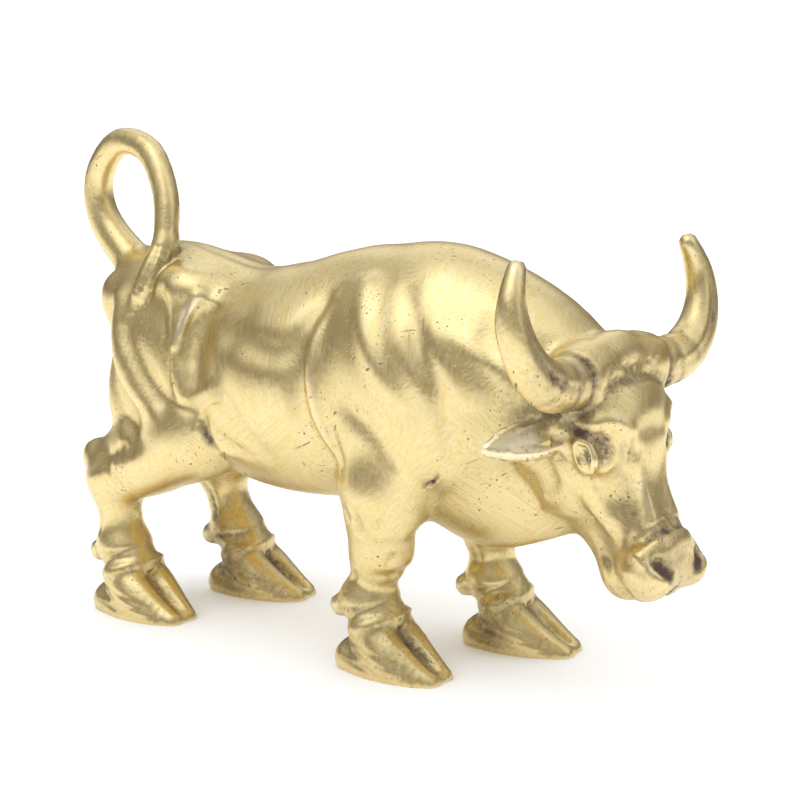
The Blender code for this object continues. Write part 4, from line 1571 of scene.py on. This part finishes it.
def group_sheet(name: str, inputs: dict, outputs: dict) -> tuple[NodeSheet, bpy.types.Node, bpy.types.Node]:
    """A new node group for a shared effect.

    Args:
        name: The group's name.
        inputs: Socket types by name.
        outputs: Socket types by name.

    Returns:
        Its sheet, its input node and its output node.
    """
    tree = bpy.data.node_groups.new(name, "ShaderNodeTree")
    for title, kind in inputs.items():
        tree.interface.new_socket(title, in_out="INPUT", socket_type=kind)
    for title, kind in outputs.items():
        tree.interface.new_socket(title, in_out="OUTPUT", socket_type=kind)
    return NodeSheet(tree), tree.nodes.new("NodeGroupInput"), tree.nodes.new("NodeGroupOutput")


def brush_marks() -> bpy.types.NodeTree:
    """Fine scratches left by wheel and brush, in several directions.

    Returns:
        The node group.
    """
    outputs = {"Mark": "NodeSocketFloat"}
    sheet, inlet, outlet = group_sheet("brush_marks", {"Place": "NodeSocketVector"}, outputs)
    place = inlet.outputs["Place"]
    marks = []
    drawn_out = 30  # how many times longer than wide a scratch is
    turns = ((0.3, 0.9, 0.2), (-0.5, 0.35, 0.8), (0.9, -0.4, -0.6))
    for turn, fine in zip(turns, (1700.0, 1350.0, 1900.0)):
        laid = sheet.add("Mapping", {"vector_type": "TEXTURE"}, Vector=place)
        laid.inputs["Rotation"].default_value = turn
        laid.inputs["Scale"].default_value = (1 / fine, 1 / fine, drawn_out / fine)
        marks.append(sheet.noise(laid.outputs[0], 1.0, 3.0, 0.65))
    patch = sheet.noise(place, 90.0, 1.0)
    mark = marks[0]
    for other, low in zip(marks[1:], (0.38, 0.50)):
        share = sheet.ramp(patch, low, low + 0.14)
        kept = sheet.math("MULTIPLY", mark, sheet.math("SUBTRACT", 1.0, share))
        mark = sheet.math("ADD", kept, sheet.math("MULTIPLY", other, share))
    sheet.tree.links.new(mark, outlet.inputs["Mark"])
    return sheet.tree


def casting_pits() -> bpy.types.NodeTree:
    """Small round pits, with few large ones.

    Returns:
        The node group.
    """
    inputs = {"Place": "NodeSocketVector", "Dirt": "NodeSocketFloat"}
    sheet, inlet, outlet = group_sheet("casting_pits", inputs, {"Pit": "NodeSocketFloat"})
    place, dirt = inlet.outputs["Place"], inlet.outputs["Dirt"]
    patch = sheet.noise(place, 85.0, 2.0)
    found = None
    for scale, size, rarity in ((560.0, 0.19, 0.84), (1400.0, 0.24, 0.83)):
        cells = sheet.add("TexVoronoi", {"feature": "F1"}, Vector=place, Scale=scale)
        chance = sheet.add("SeparateColor", None, Color=cells.outputs["Color"]).outputs[0]
        odds = sheet.total((chance, 0.35), (patch, 0.95), (dirt, 0.08))
        rare = sheet.math("GREATER_THAN", odds, rarity)
        hole = sheet.ramp(cells.outputs["Distance"], size, size * 0.45)
        pit = sheet.math("MULTIPLY", hole, rare)
        found = pit if found is None else sheet.math("MAXIMUM", found, pit)
    sheet.tree.links.new(found, outlet.inputs["Pit"])
    return sheet.tree


def nicks() -> bpy.types.NodeTree:
    """Few thin scratches, each a few millimetres long.

    Returns:
        The node group.
    """
    sheet, inlet, outlet = group_sheet("nicks", {"Place": "NodeSocketVector"}, {"Nick": "NodeSocketFloat"})
    place = inlet.outputs["Place"]
    found = None
    for turn, where in (((0.9, 0.2, 0.4), 61.0), ((-0.4, 1.1, -0.3), 74.0)):
        laid = sheet.add("Mapping", {"vector_type": "TEXTURE"}, Vector=place)
        laid.inputs["Rotation"].default_value = turn
        laid.inputs["Scale"].default_value = (1 / 1600, 1 / 1600, 1 / 110)
        line = sheet.ramp(sheet.noise(laid.outputs[0], 1.0, 0.0), 0.76, 0.81)
        spot = sheet.ramp(sheet.noise(place, where, 1.0), 0.54, 0.64)
        line = sheet.math("MULTIPLY", line, spot)
        found = line if found is None else sheet.math("MAXIMUM", found, line)
    sheet.tree.links.new(found, outlet.inputs["Nick"])
    return sheet.tree


@dataclass(frozen=True)
class BrassFinish:
    """Satin cast brass, brushed, with tarnish, patina and painted shade in its hollows, and wear and painted
    highlights on its edges.
    """

    gold: tuple = (0.80, 0.625, 0.265, 1.0)
    # Pale brass for worn edges, which also stands in for their highlight, and for brush streaks.
    bright_brass_and_highlight: tuple = (0.93, 0.83, 0.58, 1.0)
    # Olive tarnish, which also paints shade into closed-in places.
    olive_tarnish_and_shade: tuple = (0.43, 0.355, 0.122, 1.0)
    # Dark patina for grooves and pits, which also paints shade into closed-in places.
    patina_and_shade: tuple = (0.090, 0.056, 0.040, 1.0)
    # Brown dust, laid mostly where shade would fall, so partly painted shade.
    dust_and_shade_brown: tuple = (0.30, 0.230, 0.150, 1.0)
    # How far edges are painted pale, as wear and as painted highlight.
    wear_and_highlight_strength: float = 0.75
    streaks: float = 0.42
    # How much of the dust and painted shade goes on.
    dust_and_shade_strength: float = 0.35
    pit_darkness: float = 0.70
    metal_lost: float = 0.65
    least_roughness: float = 0.25
    relief_height: float = 0.0001
    relief_strength: float = 0.6

    def material(self) -> bpy.types.Material:
        """Makes the material with its nodes.

        Returns:
            The finished material.
        """
        made = bpy.data.materials.new("cast_brass")
        made.use_nodes = True
        sheet = NodeSheet(made.node_tree)
        shader = made.node_tree.nodes["Principled BSDF"]
        place = sheet.add("TexCoord").outputs["Object"]
        brush = sheet.add("Group", {"node_tree": brush_marks()}, Place=place)
        mark = brush.outputs["Mark"]
        cloud = sheet.noise(place, 55.0, 4.0, 0.6)
        speckle = sheet.noise(place, 900.0, 3.0, 0.7)
        carving = sheet.named("carving")
        # How closed in each point is, painted below as shade.
        shade = sheet.named("shade")
        edge = sheet.named("edge")
        dirt = sheet.named("dirt")

        # Tarnish and painted shade: a thin olive film, thicker where the metal is sheltered, so closed-in
        # places are painted darker as if in shade.
        tarnish_and_shade = sheet.ramp(sheet.total((shade, 0.95), (cloud, 0.5)), 0.25, 1.05, 0.0, 0.85)
        # Patina and painted shade: dark dirt left in grooves, and dark paint where the skin is closed in and
        # shaded, ragged at its edge.
        ragged = sheet.math("SUBTRACT", speckle, 0.5)
        cloudy = sheet.math("SUBTRACT", cloud, 0.5)
        soil_and_shade = sheet.total((carving, 0.62), (shade, 0.55), (dirt, 0.55), (ragged, 0.75), (cloudy, 1.1))
        patina_and_shade = sheet.ramp(soil_and_shade, 0.50, 1.00)
        # Wear and painted highlight: thin edges and ridges are painted pale, as rubbed brass and as the
        # highlight they catch.
        wear_and_highlight = sheet.ramp(sheet.math("SUBTRACT", edge, sheet.math("MULTIPLY", carving, 0.6)), 0.35, 0.95)

        # Painted shade: the olive film darkens the gold where the skin is closed in.
        colour = sheet.mix(tarnish_and_shade, self.gold, self.olive_tarnish_and_shade)
        # Painted highlight with the wear: edges and ridges turn pale.
        colour = sheet.mix(sheet.math("MULTIPLY", wear_and_highlight, self.wear_and_highlight_strength), colour, self.bright_brass_and_highlight)
        streak = sheet.ramp(mark, 0.35, 0.65, 0.0, self.streaks)
        colour = sheet.mix(streak, colour, self.bright_brass_and_highlight)
        # Dust and painted shade: brown dust, laid mostly where the skin is closed in and shaded.
        dust_and_shade = sheet.math("MULTIPLY", sheet.ramp(soil_and_shade, 0.20, 0.60), self.dust_and_shade_strength)
        colour = sheet.mix(dust_and_shade, colour, self.dust_and_shade_brown)
        pits = sheet.add("Group", {"node_tree": casting_pits()}, Place=place, Dirt=dirt).outputs["Pit"]
        nick = sheet.add("Group", {"node_tree": nicks()}, Place=place).outputs["Nick"]
        pits = sheet.math("MAXIMUM", pits, nick)
        dark = sheet.math("MAXIMUM", patina_and_shade, sheet.math("MULTIPLY", pits, self.pit_darkness))
        # Painted shade together with patina and pits: closed-in places are painted dark.
        colour = sheet.mix(dark, colour, self.patina_and_shade)
        sheet.feed(shader.inputs["Base Color"], colour)
        metal = sheet.math("SUBTRACT", 1.0, sheet.math("MULTIPLY", dark, self.metal_lost))
        sheet.feed(shader.inputs["Metallic"], metal)

        rough = sheet.total((mark, 0.20), (tarnish_and_shade, 0.08), (cloudy, 0.16), (dark, 0.30))
        rough = sheet.math("ADD", rough, self.least_roughness, clamp=True)
        sheet.feed(shader.inputs["Roughness"], rough)

        relief = sheet.total((mark, 1.1), (cloud, 2.2), (pits, -1.6), (speckle, 0.25))
        bump = sheet.add(
            "Bump", None, Strength=self.relief_strength, Distance=self.relief_height, Height=relief
        )
        sheet.feed(shader.inputs["Normal"], bump.outputs[0])
        return made


@dataclass(frozen=True)
class FloorFinish:
    """Matt white paper."""

    white: tuple = (0.94, 0.94, 0.94, 1.0)
    shadow_white: tuple = (0.92, 0.92, 0.92, 1.0)

    def material(self) -> bpy.types.Material:
        """Makes the material with its nodes.

        Returns:
            The finished material.
        """
        made = bpy.data.materials.new("studio_paper")
        made.use_nodes = True
        shader = made.node_tree.nodes["Principled BSDF"]
        sheet = NodeSheet(made.node_tree)
        grain = sheet.noise(sheet.add("TexCoord").outputs["Object"], 800.0, 3.0)
        sheet.feed(shader.inputs["Base Color"], sheet.mix(grain, self.white, self.shadow_white))
        shader.inputs["Roughness"].default_value = 0.9
        shader.inputs["Specular IOR Level"].default_value = 0.0
        return made


# The studio.


@dataclass(frozen=True)
class SoftBox:
    """A soft box that faces the bull, its turn counted from the camera's azimuth, in degrees."""

    name: str
    turn: float
    elevation: float
    distance: float
    size: tuple
    power: float


@dataclass
class Studio:
    """Floor, lights, surroundings and camera."""

    azimuth: float = 34.0
    elevation: float = 12.0
    distance: float = 0.405
    lens: float = 85.0
    aim: tuple = (0.009, 0.000, 0.055)
    floor_side: float = 6.0
    sensor: float = 36.0
    daylight: tuple = (0.95, 1.0, 1.10)
    warm: tuple = (0.96, 0.82, 0.64, 1.0)
    neutral: tuple = (1.0, 1.0, 1.0, 1.0)
    low_light: float = 0.15
    high_light: float = 0.64
    backdrop: float = 1.12
    boxes: tuple = (
        SoftBox("key", -50, 55, 0.9, (0.8, 0.8), 1.80),
        SoftBox("fill", 65, 35, 1.0, (0.5, 0.9), 0.76),
        SoftBox("top", 0, 86, 0.9, (0.9, 0.9), 1.24),
        SoftBox("back", 180, 40, 1.0, (0.9, 0.5), 0.86),
    )

    def floor(self) -> bpy.types.Object:
        """Lays a wide sheet of paper under the bull.

        Returns:
            The sheet's object.
        """
        mesh = bpy.data.meshes.new("studio_floor")
        with opened(mesh) as form:
            bmesh.ops.create_grid(form, x_segments=4, y_segments=4, size=self.floor_side / 2)
        sheet = bpy.data.objects.new("studio_floor", mesh)
        mesh.materials.append(FloorFinish().material())
        bpy.context.scene.collection.objects.link(sheet)
        return sheet

    def from_view(self, azimuth: float, elevation: float, distance: float) -> Vector:
        """A place seen from the bull's middle.

        Args:
            azimuth: The angle around the bull, in degrees.
            elevation: The angle up, in degrees.
            distance: How far away it is.

        Returns:
            The place.
        """
        around, up = math.radians(azimuth), math.radians(elevation)
        way = Vector((math.sin(around) * math.cos(up), -math.cos(around) * math.cos(up), math.sin(up)))
        return Vector(self.aim) + way * distance

    def lamp(self, box: SoftBox) -> None:
        """Puts up a soft box.

        Args:
            box: What it is and where it stands.
        """
        light = bpy.data.lights.new(box.name, "AREA")
        light.shape = "RECTANGLE"
        light.size, light.size_y = box.size
        light.color = self.daylight
        light.energy = box.power
        lamp = bpy.data.objects.new(box.name, light)
        lamp.location = self.from_view(self.azimuth + box.turn, box.elevation, box.distance)
        lamp.rotation_euler = (Vector(self.aim) - lamp.location).to_track_quat("-Z", "Y").to_euler()
        bpy.context.scene.collection.objects.link(lamp)

    def surroundings(self) -> None:
        """A white studio, darker below the lamps, so that metal has something to reflect."""
        world = bpy.data.worlds.new("studio")
        world.use_nodes = True
        bpy.context.scene.world = world
        sheet = NodeSheet(world.node_tree)
        back = world.node_tree.nodes["Background"]
        way = sheet.add("TexCoord").outputs["Generated"]
        height = sheet.add("SeparateXYZ", None, Vector=way).outputs["Z"]
        band = sheet.ramp(height, -0.05, 0.80, self.low_light, self.high_light)
        ray = sheet.add("LightPath")
        seen = sheet.math("MAXIMUM", ray.outputs["Is Camera Ray"], ray.outputs["Is Diffuse Ray"])
        strength = sheet.math("MAXIMUM", band, sheet.math("MULTIPLY", seen, self.backdrop))
        warmth = sheet.ramp(height, 0.0, 0.6)
        tint = sheet.mix(sheet.math("MAXIMUM", warmth, seen), self.warm, self.neutral)
        sheet.feed(back.inputs["Color"], tint)
        sheet.feed(back.inputs["Strength"], strength)
        world.cycles.sampling_method = "NONE"

    def camera(self) -> None:
        """The camera at the photograph's angle."""
        seen = bpy.data.cameras.new("view")
        seen.lens = self.lens
        seen.sensor_width = self.sensor
        camera = bpy.data.objects.new("view", seen)
        camera.location = self.from_view(self.azimuth, self.elevation, self.distance)
        camera.rotation_euler = (Vector(self.aim) - camera.location).to_track_quat("-Z", "Y").to_euler()
        bpy.context.scene.collection.objects.link(camera)
        bpy.context.scene.camera = camera

    def build(self) -> None:
        """Sets the whole studio up."""
        self.floor()
        self.surroundings()
        for box in self.boxes:
            self.lamp(box)
        self.camera()
        bpy.context.scene.view_settings.view_transform = "Standard"


@dataclass
class Casting:
    """The brass casting, which stands for the solid node."""

    finish: BrassFinish = field(default_factory=BrassFinish)
    flat_angle: float = 50.0

    def build(self) -> bpy.types.Object:
        """Models and dresses the casting.

        Returns:
            The finished object.
        """
        clay = Bull().clay()
        log.info("clay: %d lumps and %d strokes", len(clay.lumps), len(clay.strokes))
        grain = Fineness.FULL
        skin = Skin(clay, grain.value).model()
        # Marks wear and dirt, and the closed-in places that the finish paints as shade.
        WearAndShade(clay).mark(skin.data)
        mesh = skin.data
        mesh.transform(Matrix.Translation((-MIDDLE[0], -MIDDLE[1], 0)))
        mesh.transform(Matrix.Scale(SHOULDER_HEIGHT, 4))
        self.keep_inside(mesh)
        mesh.shade_smooth()
        mesh.set_sharp_from_angle(angle=math.radians(self.flat_angle))
        mesh.materials.append(self.finish.material())
        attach(skin, "root")
        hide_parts("bull")
        return skin

    def keep_inside(self, mesh: bpy.types.Mesh) -> None:
        """Keeps every point inside the solid's box."""
        low, high = (np.array(corner) for corner in CAD_BOX)
        move_points(mesh, np.clip(points_of(mesh), low, high))


def main() -> None:
    """Builds the studio and the casting, and notes their sizes."""
    logging.basicConfig(level=logging.INFO, format="%(name)s: %(message)s")
    Studio().build()
    log.info("studio: floor, lamps, surroundings and camera")
    skin = Casting().build()
    triangles = sum(len(face.vertices) - 2 for face in skin.data.polygons)
    log.info("casting: %d points, %d triangles", len(skin.data.vertices), triangles)


if __name__ == "__main__":
    main()
